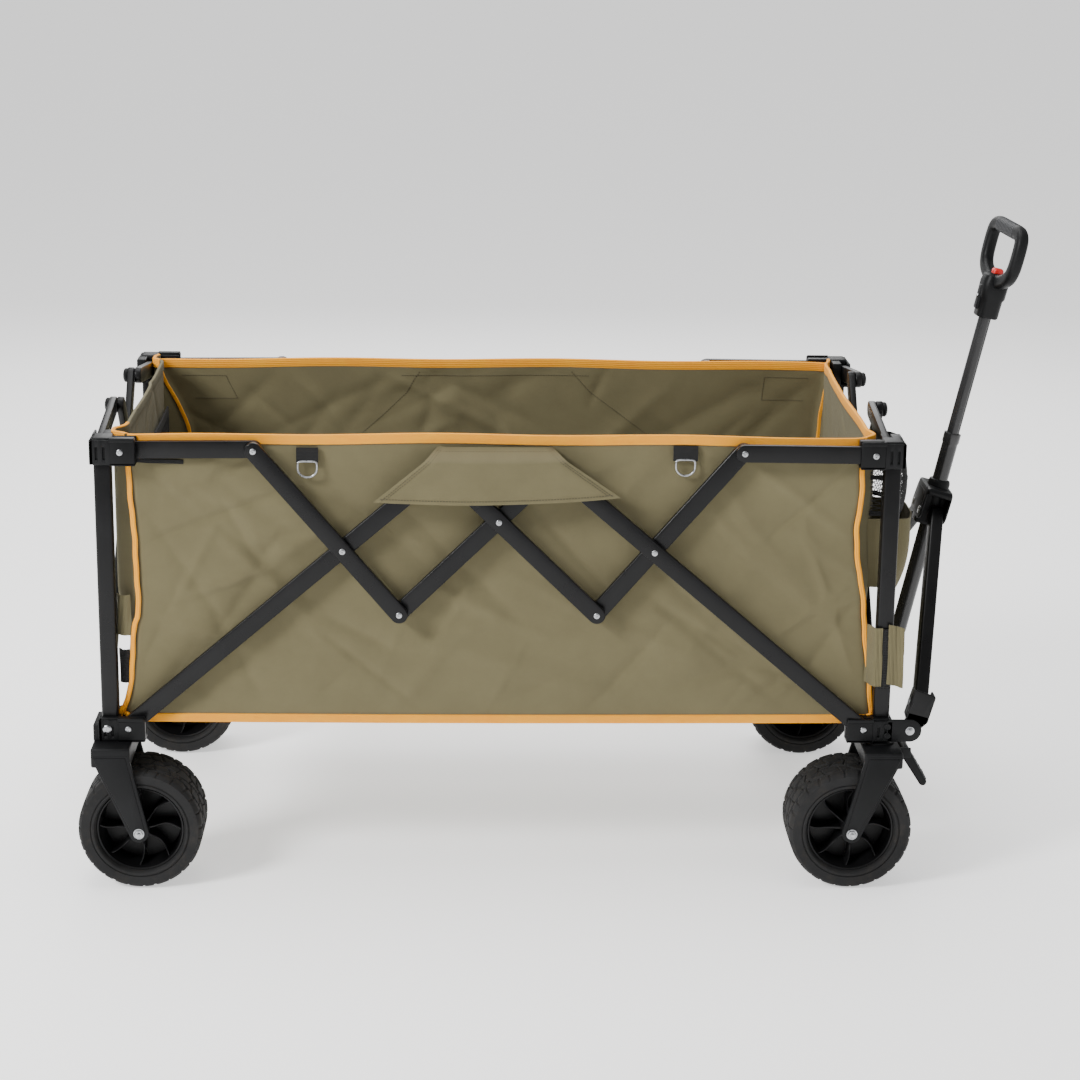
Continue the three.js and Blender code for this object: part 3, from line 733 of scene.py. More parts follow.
for name, sx, sy in corners:
    side, end = name.split("_")
    sideLayer, endLayer = layerOf[name]
    rear = side == "rear"
    node = f"{name}_base_fork" if rear else f"{name}_base_bracket"
    low, high = nodeBox(node)
    zHigh = high[2]
    zLow = zHigh - baseForm["high"]
    shell = bracketShell(zLow, zHigh, bracketForm["baseWing"], sideLayer, endLayer)
    pieces = [shell]
    rivetZ = zLow + baseForm["rivetRise"]
    extra = [(baseForm["boltX"], rivetZ, baseForm["bolt"])] if rear else []
    steel = [bracketRivets(rivetZ, extra)]
    if rear:
        saddleLow = (postX - 10 * mm, bracketForm["endWing"] + 2 * mm, zLow)
        saddleHigh = (583 * mm, bracketForm["sideOut"] - 3 * mm, zLow + 26 * mm)
        pieces.append(block(saddleLow, saddleHigh, 2 * mm))
        pieces.append(forkShell(forkForm["rearCrown"], zLow + 1 * mm))
        steel.append(axleShell())
    else:
        swing = pivot("handle_swing") - [middleX, 0, 0]
        face, thick = bracketForm["sideOut"], baseForm["lugThick"]
        lug = ringTaper(
            [
                (swing[0], swing[2], baseForm["lug"]), (571 * mm, 225 * mm, 4 * mm),
                (571 * mm, 251 * mm, 4 * mm),
            ]
        )
        pieces.append(plate(lug, edgeProfile(0, thick, 0.9 * mm, 2), (0, face - thick, 0), uprightAxes))
        plug = np.array([(5, 0), (5, 1), (4, 1.6), (2, 1.2), (0, 1.2)]) * mm
        for rise in baseForm["plugRise"]:
            pieces.append(spun(plug, (baseForm["plugX"], face, zLow + rise), (0, 1, 0), 24))
        steel.append(hexNut((swing[0], face, swing[2]), (0, 1, 0), 5.6 * mm, 2.2 * mm))
        for radius, y0, y1 in ((4 * mm, 303.4 * mm, 312.6 * mm), (6.2 * mm, 302 * mm, 304.6 * mm)):
            steel.append(spun([(radius, y0), (radius, y1)], (swing[0], 0, swing[2]), (0, 1, 0), 20))
    makePiece(
        f"{node}_shell", cornerPlace(joined(*pieces), sx, sy), mouldBlack, name, "moulding", [node],
        30,
    )
    makePiece(f"{node}_steel", cornerPlace(joined(*steel), sx, sy), zincSteel, name, "steel")
    if not rear:
        node = f"{name}_caster_fork"
        plateEdge = np.array([(22, 213), (22, 216.4), (21, 217.3), (6, 217.3)]) * mm
        parts = [
            forkShell(postX, baseForm["swivelTop"]),
            spun(plateEdge, (postX, postY, 0), (0, 0, 1), 40),
        ]
        for y in baseForm["ears"]:
            parts.append(block((579 * mm, y, 197 * mm), (603 * mm, y + 4 * mm, 212 * mm), 1.2 * mm))
        stem = spun(np.array([(5, 217), (5, 225)]) * mm, (postX, postY, 0), (0, 0, 1), 20)
        makePiece(
            f"{node}_shell", cornerPlace(joined(*parts), sx, sy), mouldBlack, f"{name}_caster",
            "moulding", [node], 30,
        )
        makePiece(
            f"{node}_steel", cornerPlace(joined(axleShell(), stem), sx, sy), zincSteel,
            f"{name}_caster", "steel",
        )
        node = f"{end}_brake_pedal"
        f = brakeForm
        eye = np.array(f["eye"])
        slope = np.array(f["slope"]) / math.hypot(*f["slope"])
        tip = eye + slope * f["length"]
        blade = ringTaper([(*eye, f["thick"][0]), (*tip, f["thick"][1])])
        parts = [plate(blade, edgeProfile(*f["across"], 2.5 * mm, 3), (0, 0, 0), uprightAxes)]
        above = np.array([-slope[1], slope[0]]) * f["thick"][1]
        for k in range(f["ribs"]):
            x, z = eye + slope * (f["ribFirst"] + f["ribStep"] * k) * mm + above
            parts.append(swept([(x, y, z) for y in f["ribAcross"]], ringCircle(f["ribRadius"], 10)))
        parts.append(
            spun([(f["pin"], 257 * mm), (f["pin"], 313 * mm)], (eye[0], 0, eye[1]), (0, 1, 0), 18)
        )
        makePiece(
            f"{node}_shell", cornerPlace(joined(*parts), sx, sy), mouldBlack, f"{end}_brake",
            "moulding", [node], 30,
        )
print("forks, casters and brakes made")


wheelForm = {
    "radius": 90 * mm, "half": 50 * mm, "around": 432, "across": 60, "groove": 3.0 * mm,
    "blocks": 27, "waves": 9, "ribs": 8, "ribBend": (0.11, 0.05), "ribThick": (1.7, 0.3),
}


def smoothEdge(x, wide):
    # 0 below zero, 1 above wide, and the cubic 3x^2 - 2x^3 between
    x = np.clip(x / wide, 0, 1)
    return x * x * (3 - 2 * x)


def treadShell():
    # radius = crown curve less a groove depth where the angle and the place across fall in a groove
    f = wheelForm
    half = f["half"]
    a = np.linspace(0, 2 * math.pi, f["around"], endpoint=False)
    s = np.linspace(-1, 1, f["across"])
    angle, across = np.meshgrid(a, s, indexing="ij")
    wave = 2 / math.pi * np.arcsin(np.sin(angle * f["waves"]))
    phase = 2 / math.pi * np.arcsin(np.sin(angle * f["waves"] * 2 + 1))
    high = np.ones_like(angle)
    for at, size, swing in (
        (-0.58, 0.05, 0.07), (-0.2, 0.045, -0.09), (0.2, 0.045, 0.09), (0.58, 0.05, -0.07)
    ):
        d = np.abs(across - at - swing * wave)
        high *= smoothEdge(d - size * 0.45, 0.035)
    turn = angle * f["blocks"] / (2 * math.pi)
    for low, top, lean, wide in (
        (-1.1, -0.58, 0.35, 0.12), (-0.58, -0.2, -0.7, 0.075), (-0.2, 0.2, 0.9, 0.07),
        (0.2, 0.58, -0.7, 0.075), (0.58, 1.1, 0.35, 0.12),
    ):
        here = (across > low) & (across <= top)
        place = np.abs((turn + lean * across + 0.13 * phase) % 1 - 0.5)
        cut = smoothEdge(0.5 - place - wide * 0.5, 0.05)
        high = np.where(here, high * (1 - (1 - cut) * (0.6 - 0.05 * (np.abs(across) > 0.58))), high)
    edge = np.clip((np.abs(across) - 0.8) / 0.2, 0, 1)
    crown = f["radius"] - 0.6 * mm * across**2 - 4.5 * mm * edge**2
    fade = 1 - smoothEdge(np.abs(across) - 0.96, 0.03) * 0.5
    radius = crown - f["groove"] * (1 - high) * fade
    w = across * (half - 0.5 * mm)
    grid = np.stack([radius * np.cos(angle), w, radius * np.sin(angle)], -1)
    # the two sidewalls: rounded shoulder, a groove ring, a raised lip and the bead
    walls = [
        (84.6, 49.9), (82.5, 50.0), (78.5, 49.6), (74.0, 49.2), (72.2, 48.9), (71.8, 47.4),
        (70.4, 47.4), (70.0, 48.7), (68.6, 49.2), (66.6, 48.6), (65.2, 47), (64.4, 44.5),
        (63.4, 41.5), (63.0, 38),
    ]
    rings = [grid[:, k] for k in range(grid.shape[1])]

    def wallRing(r, w):
        return np.stack([r * mm * np.cos(a), np.full_like(a, w * mm), r * mm * np.sin(a)], -1)

    first = [wallRing(r, -w) for r, w in reversed(walls)]
    last = [wallRing(r, w) for r, w in walls]
    whole = first + rings + last
    return loft(whole, wrap=True)


def rimShell():
    # a barrel, a web in the middle, eight curved ribs on each face and a hub boss
    profile = [
        (62.2, -38), (63.2, -41.6), (62.4, -42.4), (60.4, -41.6), (58.6, -36), (57.6, -8), (56, -4),
        (14, -4), (13, -8), (13, -38), (11.5, -40.5), (6.6, -40.5), (6.6, 40.5), (11.5, 40.5),
        (13, 38), (13, 8), (14, 4), (56, 4), (57.6, 8), (58.6, 36), (60.4, 41.6), (62.4, 42.4),
        (63.2, 41.6), (62.2, 38),
    ]
    shells = [spun(np.array(profile) * mm, (0, 0, 0), (0, 1, 0), 72, closed=True)]
    count = wheelForm["ribs"]
    r = np.linspace(11, 59, 14)
    share = (r - r[0]) / (r[-1] - r[0])
    bow, lean = wheelForm["ribBend"]
    bend = bow * np.sin(share * math.pi) - lean * share
    for k in range(count):
        angle = k * 2 * math.pi / count + bend
        tangent = np.stack([-np.sin(angle), np.cos(angle)], 1)
        line = np.stack([r * np.cos(angle), r * np.sin(angle)], 1)
        root, taper = wheelForm["ribThick"]
        thick = root - taper * share
        for s in (-1, 1):
            top = s * (35 - 9 * np.sin(share * math.pi) ** 2)
            lowV = np.full_like(r, s * 2.0)
            rim = s * 1.2
            section = (
                (1.3, lowV), (1, top - rim), (0.5, top), (-0.5, top), (-1, top - rim), (-1.3, lowV)
            )
            rings = []
            for wide, height in section:
                edge = line + tangent * (thick * wide)[:, None]
                rings.append(np.column_stack([edge[:, 0], height, edge[:, 1]]))
            shells.append(loft(np.stack(rings, 1) * mm))
    return joined(*shells)


tread = treadShell()
rimForm = rimShell()
for name, sx, sy in corners:
    center = pivot(f"{name}_roll")
    low, high = nodeBox(f"{name}_tyre")
    center = np.array([center[0], (low[1] + high[1]) / 2, center[2]])
    for part, shell, material, slotName in (
        ("tyre", tread, treadBlack, "tyre"), ("rim", rimForm, rimBlack, "rim")
    ):
        verts, faces = shell
        piece = makePiece(
            f"{name}_{part}_moulded", (verts * [1, -1 if sy > 0 else 1, 1] + center, faces),
            material, f"{name}_wheel", slotName, [f"{name}_{part}"], 28,
        )
print("wheels made")


handleForm = {
    "lean": 15.3, "tubeLean": 12.3, "foot": (292 * mm, 38 * mm), "head": (26 * mm, 262 * mm),
    "shift": 6 * mm, "hub": (238 * mm, 300 * mm, 40 * mm, 21 * mm),
    "tube": (-211 * mm, 113 * mm, 12 * mm), "slide": (-15 * mm, 338 * mm, 9.6 * mm),
    "loopLow": 356 * mm, "loopHigh": 436 * mm, "loopHalf": 65 * mm, "thick": 9.4 * mm, "twist": 7,
    "legHalf": 10 * mm, "legBevel": 3.2 * mm, "footRivetOut": 15.8 * mm,
    "rivet": (6 * mm, 1.8 * mm), "earGap": 13 * mm, "earThick": 3 * mm,
    "web": (304.9 * mm, 308.4 * mm), "gripRibs": 13, "ribReach": 36, "ribHalf": 2.1 * mm,
    "ribTop": 1.2 * mm,
}
h = handleForm
swingPoint = pivot("handle_swing")
leanOrigin = np.array([swingPoint[0], 0, swingPoint[2]])


def leanAxes(degrees):
    a = math.radians(degrees)
    return np.array([[math.cos(a), 0, -math.sin(a)], [0, 1, 0], [math.sin(a), 0, math.cos(a)]])


def onLegs(name, shells, *rest):
    # a piece drawn in the plane of the legs
    return makePiece(name, placed(joined(*shells), leanOrigin, planeAxes), *rest)


def onTube(name, shells, axes, *rest):
    # a piece drawn along the handle's tube, square to it or turned with the grip
    return makePiece(name, placed(joined(*shells), tubeOrigin, axes), *rest)


planeAxes = leanAxes(h["lean"])
tubeAxes = leanAxes(h["tubeLean"])
tubeOrigin = np.array([middleX + 675 * mm, 0, 500 * mm])

for which, s, step in (("near", -1, h["shift"]), ("far", 1, -h["shift"])):
    foot = np.array([step, s * h["foot"][0], h["foot"][1]])
    head = np.array([step, s * h["head"][0], h["head"][1]])
    run = head - foot
    half, earThick = h["legHalf"], h["earThick"]
    length = np.linalg.norm(run)
    u = run / length
    w = np.array([1.0, 0, 0])
    v = np.cross(w, u)
    leg = plate(
        ringStadium(length, half, 10), edgeProfile(-half, half, h["legBevel"], 4), foot, (u, v, w)
    )
    onLegs(
        f"handle_leg_{which}_bar", [leg], coatBlack, f"handle_{which}_leg", "frame",
        [f"handle_leg_{which}"], 40,
    )
    heads = []
    for sign in (-1, 1):
        heads.append(rivetShell(foot + w * sign * h["footRivetOut"], w * sign, *h["rivet"]))
    onLegs(f"handle_foot_rivets_{which}", heads, zincSteel, f"handle_{which}_knuckle", "steel")
    gap = h["earGap"]
    ears = []
    for sign in (-1, 1):
        x0 = step + sign * gap
        ring = ringTaper(
            [
                (s * 296 * mm, 38 * mm, 13 * mm), (s * 302 * mm, 20 * mm, 6.2 * mm),
                (s * 290 * mm, 22 * mm, 6 * mm),
            ][::s]
        )
        ears.append(
            plate(
                ring, edgeProfile(0, earThick, 0.9 * mm, 2), (x0, 0, 0),
                ((0, 1, 0), (0, 0, 1), (sign, 0, 0)),
            )
        )
    webRing = np.array(
        [
            (-12, 0), (-11, -7), (-6, -12), (6, -12), (11, -7), (12, 0), (step / mm + 15.4, 16),
            (step / mm + 15.4, 25.4), (step / mm - 15.4, 25.4), (step / mm - 15.4, 16),
        ]
    ) * mm
    web = plate(
        webRing, edgeProfile(*h["web"], 0.8 * mm, 2), (0, 0, 0), ((1, 0, 0), (0, 0, 1), (0, s, 0))
    )
    # the near leg never leaves its pin, so its socket has a closed outer face
    if s < 0:
        cover = ringTaper(
            [
                (-2 * mm, 2 * mm, 12 * mm), (step + 12.5 * mm, 18 * mm, 4 * mm),
                (step + 12.5 * mm, 55 * mm, 4 * mm), (step - 12.5 * mm, 57 * mm, 4 * mm),
                (step - 12.5 * mm, 18 * mm, 4 * mm),
            ]
        )
        ears.append(
            plate(
                cover, edgeProfile(*h["web"], 1.4 * mm, 3), (0, 0, 0),
                ((1, 0, 0), (0, 0, 1), (0, s, 0)),
            )
        )
        for sign in (-1, 1):
            x0 = sorted((step + sign * gap, step + sign * (gap + earThick)))
            ears.append(block((x0[0], -307 * mm, 16 * mm), (x0[1], -283 * mm, 58 * mm), 1.3 * mm))
    onLegs(
        f"handle_knuckle_{which}_shell", [web, *ears], coatBlack, f"handle_{which}_knuckle",
        "frame", [f"handle_knuckle_{which}"], 35,
    )

low, high, wide, face = h["hub"]
ovals = []
for sign in (-1, 1):
    acrossAxes = ((0, 1, 0), (0, 0, 1), (sign, 0, 0))
    outline = ringTaper(
        np.array([(-26, 262, 13.5), (26, 262, 13.5), (24, 286, 13.5), (-24, 286, 13.5)]) * mm
    )
    ovals.append(plate(outline, edgeProfile(17.6 * mm, face, 1.2 * mm, 3), (0, 0, 0), acrossAxes))
    inner = ringTaper(np.array([(-20, 262, 8), (20, 262, 8), (19, 284, 8), (-19, 284, 8)]) * mm)
    ovals.append(
        plate(
            inner, edgeProfile(face - 1 * mm, face + 0.8 * mm, 0.7 * mm, 2), (0, 0, 0), acrossAxes
        )
    )
hubBlock = block((-face + 1 * mm, -15 * mm, low), (face - 1 * mm, 15 * mm, high), 5 * mm, 4)
hubTop = block((-face + 0.5 * mm, -wide, high - 11 * mm), (face - 0.5 * mm, wide, high), 4.5 * mm, 4)
hub = placed(joined(hubBlock, hubTop, *ovals), leanOrigin, planeAxes)
w0, w1, r = h["tube"]
outerTube = spun(
    [
        (9.9 * mm, w0 + 0.5 * mm), (11.2 * mm, w0), (r, w0 + 1 * mm), (r, w1 - 22 * mm),
        (r, w1 - 16 * mm), (r + 1.1 * mm, w1 - 14 * mm), (r + 1.1 * mm, w1 - 2 * mm),
        (r + 1 * mm, w1), (9.8 * mm, w1), (9.8 * mm, w0 + 1 * mm),
    ],
    (0, 0, 0), (0, 0, 1), 48, closed=True,
)
sleeve = spun(
    np.array([(16, -30), (17, -28), (17, 34), (15.5, 38), (13.2, 39), (11, 39), (11, -30)]) * mm,
    (0, 0, 0), (0, 0, 1), 48, closed=True,
)
makePiece(
    "handle_hub_moulding", joined(hub, placed(sleeve, tubeOrigin, tubeAxes)), mouldBlack,
    "handle_hub", "moulding", ["handle_hub_tube"], 35,
)
onTube("handle_outer_tube", [outerTube], tubeAxes, tubeGrey, "handle_hub", "frame", (), 35)
heads = [
    rivetShell((sign * (face + 0.2 * mm), y, 262 * mm), (sign, 0, 0), *h["rivet"])
    for sign in (-1, 1) for y in (-26 * mm, 26 * mm)
]
onLegs("handle_hub_rivets", heads, zincSteel, "handle_hub", "steel")

w0, w1, r = h["slide"]
a = np.arange(96) * 2 * math.pi / 96
flute = r - 0.9 * mm * np.exp(-((((a / (math.pi / 2)) % 1) - 0.5) / 0.09) ** 2)
ring = np.stack([flute * np.cos(a), flute * np.sin(a)], 1)
innerRing = ring * 0.82
tubeRings = [
    np.column_stack([q, np.full(96, z)])
    for q, z in ((ring, w0), (ring, w1), (innerRing, w1), (innerRing, w0))
]
onTube(
    "handle_slide_tube", [loft(tubeRings, wrap=True)], tubeAxes, tubeGrey, "handle_slider",
    "inner_tube", ["handle_inner_tube"], 35,
)

twist = math.radians(h["twist"])
gripAxes = np.array(
    [[math.cos(twist), math.sin(twist), 0], [-math.sin(twist), math.cos(twist), 0], [0, 0, 1]]
) @ tubeAxes
lowW, highW, halfW = h["loopLow"], h["loopHigh"], h["loopHalf"]
loopPoints = [
    (0, lowW), (18 * mm, lowW), (34 * mm, lowW + 4 * mm), (52 * mm, lowW + 12 * mm),
    (61.5 * mm, lowW + 23 * mm), (halfW, lowW + 38 * mm), (halfW, highW - 17 * mm),
    (halfW - 5 * mm, highW - 5.5 * mm), (halfW - 18 * mm, highW), (30 * mm, highW), (0, highW),
]
loopPath = [(0, y, w) for y, w in loopPoints] + [(0, -y, w) for y, w in loopPoints[-2:0:-1]]
loopPath = smoothPath(loopPath, 168, closed=True)
section = ringBox(h["thick"] * 1.14, h["thick"] * 0.98, 7.4 * mm, 5)
loop = swept(loopPath, section, up=(1, 0, 0), wrap=True)
socketSteps = [(298, 15.5), (300, 17), (326, 17.4), (330, 19.6), (352, 20), (362, 17.5), (366, 12)]
rings = [
    np.column_stack([ringBox(q * mm, q * 0.96 * mm, q * 0.62 * mm, 6), np.full(28, z * mm)])
    for z, q in socketSteps
]
socket = loft(rings)
latch = block((-21 * mm, -7 * mm, 308 * mm), (-14 * mm, 7 * mm, 346 * mm), 2.5 * mm, 3)
onTube(
    "handle_grip_moulding", [loop, socket, latch], gripAxes, mouldBlack, "handle_slider",
    "moulding", ["handle_grip"], 38,
)
pin = spun(
    np.array([(2.6, 0), (2.6, 1.2), (1.6, 2.2), (0, 2.4)]) * mm, (-20.6 * mm, 0, 328 * mm),
    (-1, 0, 0), 18,
)
onTube("handle_latch_pin", [pin], gripAxes, zincSteel, "handle_slider", "steel")
ribs = []
for y in np.linspace(-h["ribReach"], h["ribReach"], h["gripRibs"]) * mm:
    steps = (-h["ribHalf"], -h["ribTop"], 0, h["ribTop"], h["ribHalf"])
    line = np.array([(0, y + step, highW) for step in steps])
    ribs.append(swept(line, section * 1.045, up=(1, 0, 0), scale=[0.93, 1, 1.01, 1, 0.93]))
onTube("handle_grip_insert", ribs, gripAxes, gripGrey, "handle_slider", "moulding", (), 40)
button = spun(
    np.array([(7.0, 349), (7.2, 350), (7.2, 364), (6, 366.4), (3, 367), (0, 367.2)]) * mm,
    (0, 0, 0), (0, 0, 1), 36,
)
thumb = block((-8.5 * mm, -7 * mm, 352 * mm), (8.5 * mm, 7 * mm, 374 * mm), 4.5 * mm, 4)
onTube(
    "handle_release_button", [button, thumb], gripAxes, redPlastic, "handle_button", "button",
    ["handle_button"], 40,
)
print("handle made")


clothForm = {
    "sideAnchor": 0.527, "endAnchor": 0.283, "sideFlat": (1.07, 0.425), "endFlat": (0.58, 0.425),
    "spanX": 1.054, "spanY": 0.566, "rise": 0.42, "outMost": 286.6 * mm, "endMost": 546.5 * mm,
    "thick": 1.6 * mm, "sideY": 282 * mm, "endX": 531 * mm, "low": 243 * mm, "high": 664 * mm,
    "foldSide": 0.203, "foldEnd": 0.24,
}
c = clothForm


def thickSheet(points, thick):
    # two copies of the grid, half the thickness each way along its normals, joined round the border
    du = np.gradient(points, axis=0)
    dv = np.gradient(points, axis=1)
    n = np.cross(du, dv)
    n /= np.maximum(np.linalg.norm(n, axis=2, keepdims=True), 1e-12)
    rows, cols = points.shape[:2]
    grid = np.arange(rows * cols).reshape(rows, cols)
    quads = np.stack([grid[:-1, :-1], grid[1:, :-1], grid[1:, 1:], grid[:-1, 1:]], -1).reshape(-1, 4)
    back = quads[:, ::-1] + rows * cols
    border = np.concatenate([grid[0, :-1], grid[:-1, -1], grid[-1, :0:-1], grid[:0:-1, 0]])
    nxt = np.roll(border, -1)
    rim = np.stack([border, nxt, nxt + rows * cols, border + rows * cols], -1)
    verts = np.concatenate(
        [(points + n * thick / 2).reshape(-1, 3), (points - n * thick / 2).reshape(-1, 3)]
    )
    return verts, np.concatenate([quads, back, rim]).tolist()


def creases(s, t, lines):
    # each fold is a ridge whose height falls off with the squared distance from its line
    out = np.zeros_like(s)
    for s0, t0, s1, t1, high, wide in lines:
        ds, dt = s1 - s0, t1 - t0
        size = ds * ds + dt * dt
        along = np.clip(((s - s0) * ds + (t - t0) * dt) / size, 0, 1)
        away = np.hypot(s - s0 - along * ds, t - t0 - along * dt)
        lean = np.sign((s - s0) * dt - (t - t0) * ds)
        shape = np.exp(-((away / wide) ** 2)) * (1 + 0.5 * lean * np.tanh(away / wide * 2))
        out += high * shape * np.sin(math.pi * np.clip(along * 0.9 + 0.05, 0, 1)) ** 0.6
    return out


def randomFolds(seed, count, width, height, high):
    # short straight folds at drawn places, mostly slanting, in metres on the panel
    draw = np.random.default_rng(seed)
    lines = []
    for _ in range(count):
        x, z = draw.uniform(0, width), draw.uniform(0, height)
        lean = draw.choice([-1, 1]) * draw.uniform(0.3, 1.2)
        size = draw.uniform(0.05, 0.16)
        dx, dz = math.cos(lean) * size, math.sin(lean) * size
        lines.append(
            (
                x - dx, z - dz, x + dx, z + dz, high * draw.uniform(0.4, 1) * draw.choice([-1, 1]),
                draw.uniform(0.006, 0.02),
            )
        )
    return lines


def waviness(s, t, seed, high):
    # a few slow sine waves in drawn directions, summed
    draw = np.random.default_rng(seed)
    out = np.zeros_like(s)
    for _ in range(7):
        a, k, p = draw.uniform(0, math.pi), draw.uniform(6, 22), draw.uniform(0, 6.3)
        out += high * draw.uniform(0.3, 1) * np.sin((s * math.cos(a) + t * math.sin(a)) * k + p)
    return out / 2.2


def tapeShell(path, section, up, wrap=False):
    # a swept ribbon with its length and its girth as UV, in metres
    shell = swept(path, section, up, wrap)
    run = np.concatenate([[0], np.cumsum(np.linalg.norm(np.diff(path, axis=0), axis=1))])
    girth = np.concatenate([[0], np.cumsum(np.linalg.norm(np.diff(section, axis=0), axis=1))])
    u, v = np.meshgrid(run, girth, indexing="ij")
    return shell, np.stack([u.ravel(), v.ravel()], 1)


def joinWithUv(*pairs):
    return joined(*[p[0] for p in pairs]), np.concatenate([p[1] for p in pairs])


def sideFold(piece):
    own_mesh(piece)


def endFold(piece):
    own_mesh(piece)


def clothPiece(
    name, points, uv, material, body, nodes=()
):
    shell = thickSheet(points, c["thick"])
    both = np.concatenate([uv.reshape(-1, 2), uv.reshape(-1, 2)])
    piece = makePiece(name, shell, material, body, "fabric", nodes, 50, both)
    return piece


sidePanel = {
    "cols": 300, "rows": 110, "sag": 7 * mm, "fold": 4.2 * mm, "wave": 1.6 * mm,
    "calm": 0.12, "inMost": 6 * mm, "bumpMost": 4 * mm, "turnIn": 7 * mm, "turnShare": 0.008,
}


# (height, x) along each corner seam, in millimetres from the middle of the basket
seamCurves = {
    "nearRear": [
        (243, -542), (260, -541), (289, -531.5), (385, -522), (406, -516.5), (483, -517),
        (572, -521.7), (620, -524.5), (664, -526),
    ],
    "nearFront": [
        (243, 549), (252, 548), (307, 541), (381, 532), (444, 525), (489, 517), (534, 513),
        (580, 519), (625, 517), (664, 520),
    ],
    "farRear": [
        (243, -541), (300, -532), (400, -512), (470, -497), (526, -494), (570, -503), (610, -522),
        (637, -536), (664, -543),
    ],
    "farFront": [(243, 542), (300, 538), (400, 530), (500, 528), (580, 533), (640, 541), (664, 543)],
}


def seamX(z, name):
    # the corner seam's x at a height, a smooth curve through the seam's points
    curve = smoothPath(np.array(seamCurves[name], float), 120)
    return np.interp(z / mm, curve[:, 0], curve[:, 1]) * mm


sideLines = [
    (0.02, 0.40, 0.30, 0.10, 1.6, 0.016), (0.03, 0.30, 0.20, 0.02, -1.2, 0.012),
    (0.05, 0.42, 0.34, 0.26, 1.2, 0.02), (0.10, 0.20, 0.30, 0.30, 1.1, 0.012),
    (0.26, 0.38, 0.46, 0.20, -1.3, 0.018), (0.44, 0.12, 0.70, 0.04, 1.0, 0.02),
    (0.55, 0.22, 0.80, 0.10, 1.3, 0.016), (0.70, 0.30, 0.92, 0.06, -1.2, 0.016),
    (0.80, 0.36, 1.04, 0.12, 1.7, 0.016), (0.88, 0.40, 1.05, 0.28, 1.3, 0.012),
    (0.92, 0.02, 1.05, 0.20, -1.2, 0.012), (0.60, 0.38, 0.78, 0.30, 1.0, 0.012),
    (0.33, 0.02, 0.40, 0.20, 0.8, 0.014), (0.98, 0.30, 1.03, 0.08, 1.5, 0.008),
    (0.02, 0.12, 0.12, 0.30, 1.1, 0.01),
]


def sideSurface(cols, rows, seed, left, right):
    # points of a side panel: x between the seams, z up, y set in by a sag plus folds and waves
    c0, c1 = c["low"], c["high"]
    share, lift = np.meshgrid(np.linspace(0, 1, cols), np.linspace(0, 1, rows), indexing="ij")
    lower = -2 * mm * np.sin(math.pi * share)
    upper = 3 * mm * np.sin(math.pi * share) + 1.2 * mm * np.sin(share * 19)
    z = c0 + lower + (c1 + upper - c0 - lower) * lift
    x0, x1 = left(z), right(z)
    x = x0 + (x1 - x0) * share
    sMetre, tMetre = share * c["spanX"], lift * c["rise"]
    lines = [(a, b, e, d, 2.2 * hgt * mm, wid) for a, b, e, d, hgt, wid in sideLines] + randomFolds(
        seed, 46, c["spanX"], c["rise"], sidePanel["fold"]
    )
    bulge = creases(sMetre, tMetre, lines) + waviness(sMetre, tMetre, seed + 1, sidePanel["wave"])
    calm = np.clip(np.minimum(lift, 1 - lift) / sidePanel["calm"], 0.1, 1)
    edge = np.minimum(share, 1 - share)
    inward = sidePanel["sag"] * np.sin(math.pi * share) ** 0.8 * np.sin(math.pi * lift) ** 0.7
    y = -c["sideY"] + inward - np.clip(bulge * calm, -sidePanel["inMost"], sidePanel["bumpMost"])
    y = np.maximum(y, -c["outMost"])
    turned = sidePanel["turnIn"] * np.clip(1 - edge / sidePanel["turnShare"], 0, 1) ** 2
    y = y + turned
    return np.stack([x, y, z], -1), np.stack([sMetre, tMetre], -1)


def insideOut(points):
    # the far panel is the near one turned half round the basket's middle
    return points * [-1, -1, 1]


shift = np.array([middleX, 0, 0])
nearPoints, sideUv = sideSurface(
    sidePanel["cols"], sidePanel["rows"], 11, lambda z: seamX(z, "nearRear"),
    lambda z: seamX(z, "nearFront"),
)
farPoints, farUv = sideSurface(
    220, 80, 23, lambda z: -seamX(z, "farFront"), lambda z: -seamX(z, "farRear")
)
farPoints = insideOut(farPoints)
farPoints[..., 2] -= 6 * mm * np.clip((farPoints[..., 2] - 0.55) / 0.11, 0, 1)
near = clothPiece(
    "near_side_cloth", nearPoints + shift, sideUv, oliveCloth, "rear_near", ["near_rear_fabric"],
)
sideFold(near)
far = clothPiece(
    "far_side_cloth", farPoints + shift, farUv, oliveCloth, "front_far", ["far_front_fabric"],
)
sideFold(far)

tapeDrop, hemRise, tapeOut = 3.6 * mm, 3.4 * mm, 0.4 * mm
tapeSection = ringBox(2.5 * mm, 7.4 * mm, 1.8 * mm, 3)
hemSection = ringBox(1.9 * mm, 6.6 * mm, 1.6 * mm, 3)
pipeSection = ringBox(2.3 * mm, 3.7 * mm, 2.0 * mm, 3)


def edgeTapes(points, outward):
    # binding over the top and bottom edges, following the sheet's own border
    top = points[:, -1] + [0, outward * tapeOut, -tapeDrop]
    bottom = points[:, 0] + [0, outward * tapeOut, hemRise]
    kernel = np.ones(5) / 5

    def eased(path):
        path = path.copy()
        path[2:-2, 1] = np.convolve(path[:, 1], kernel, "valid")
        return path

    return tapeShell(eased(top), tapeSection, (0, 0, 1)), tapeShell(
        eased(bottom), hemSection, (0, 0, 1)
    )


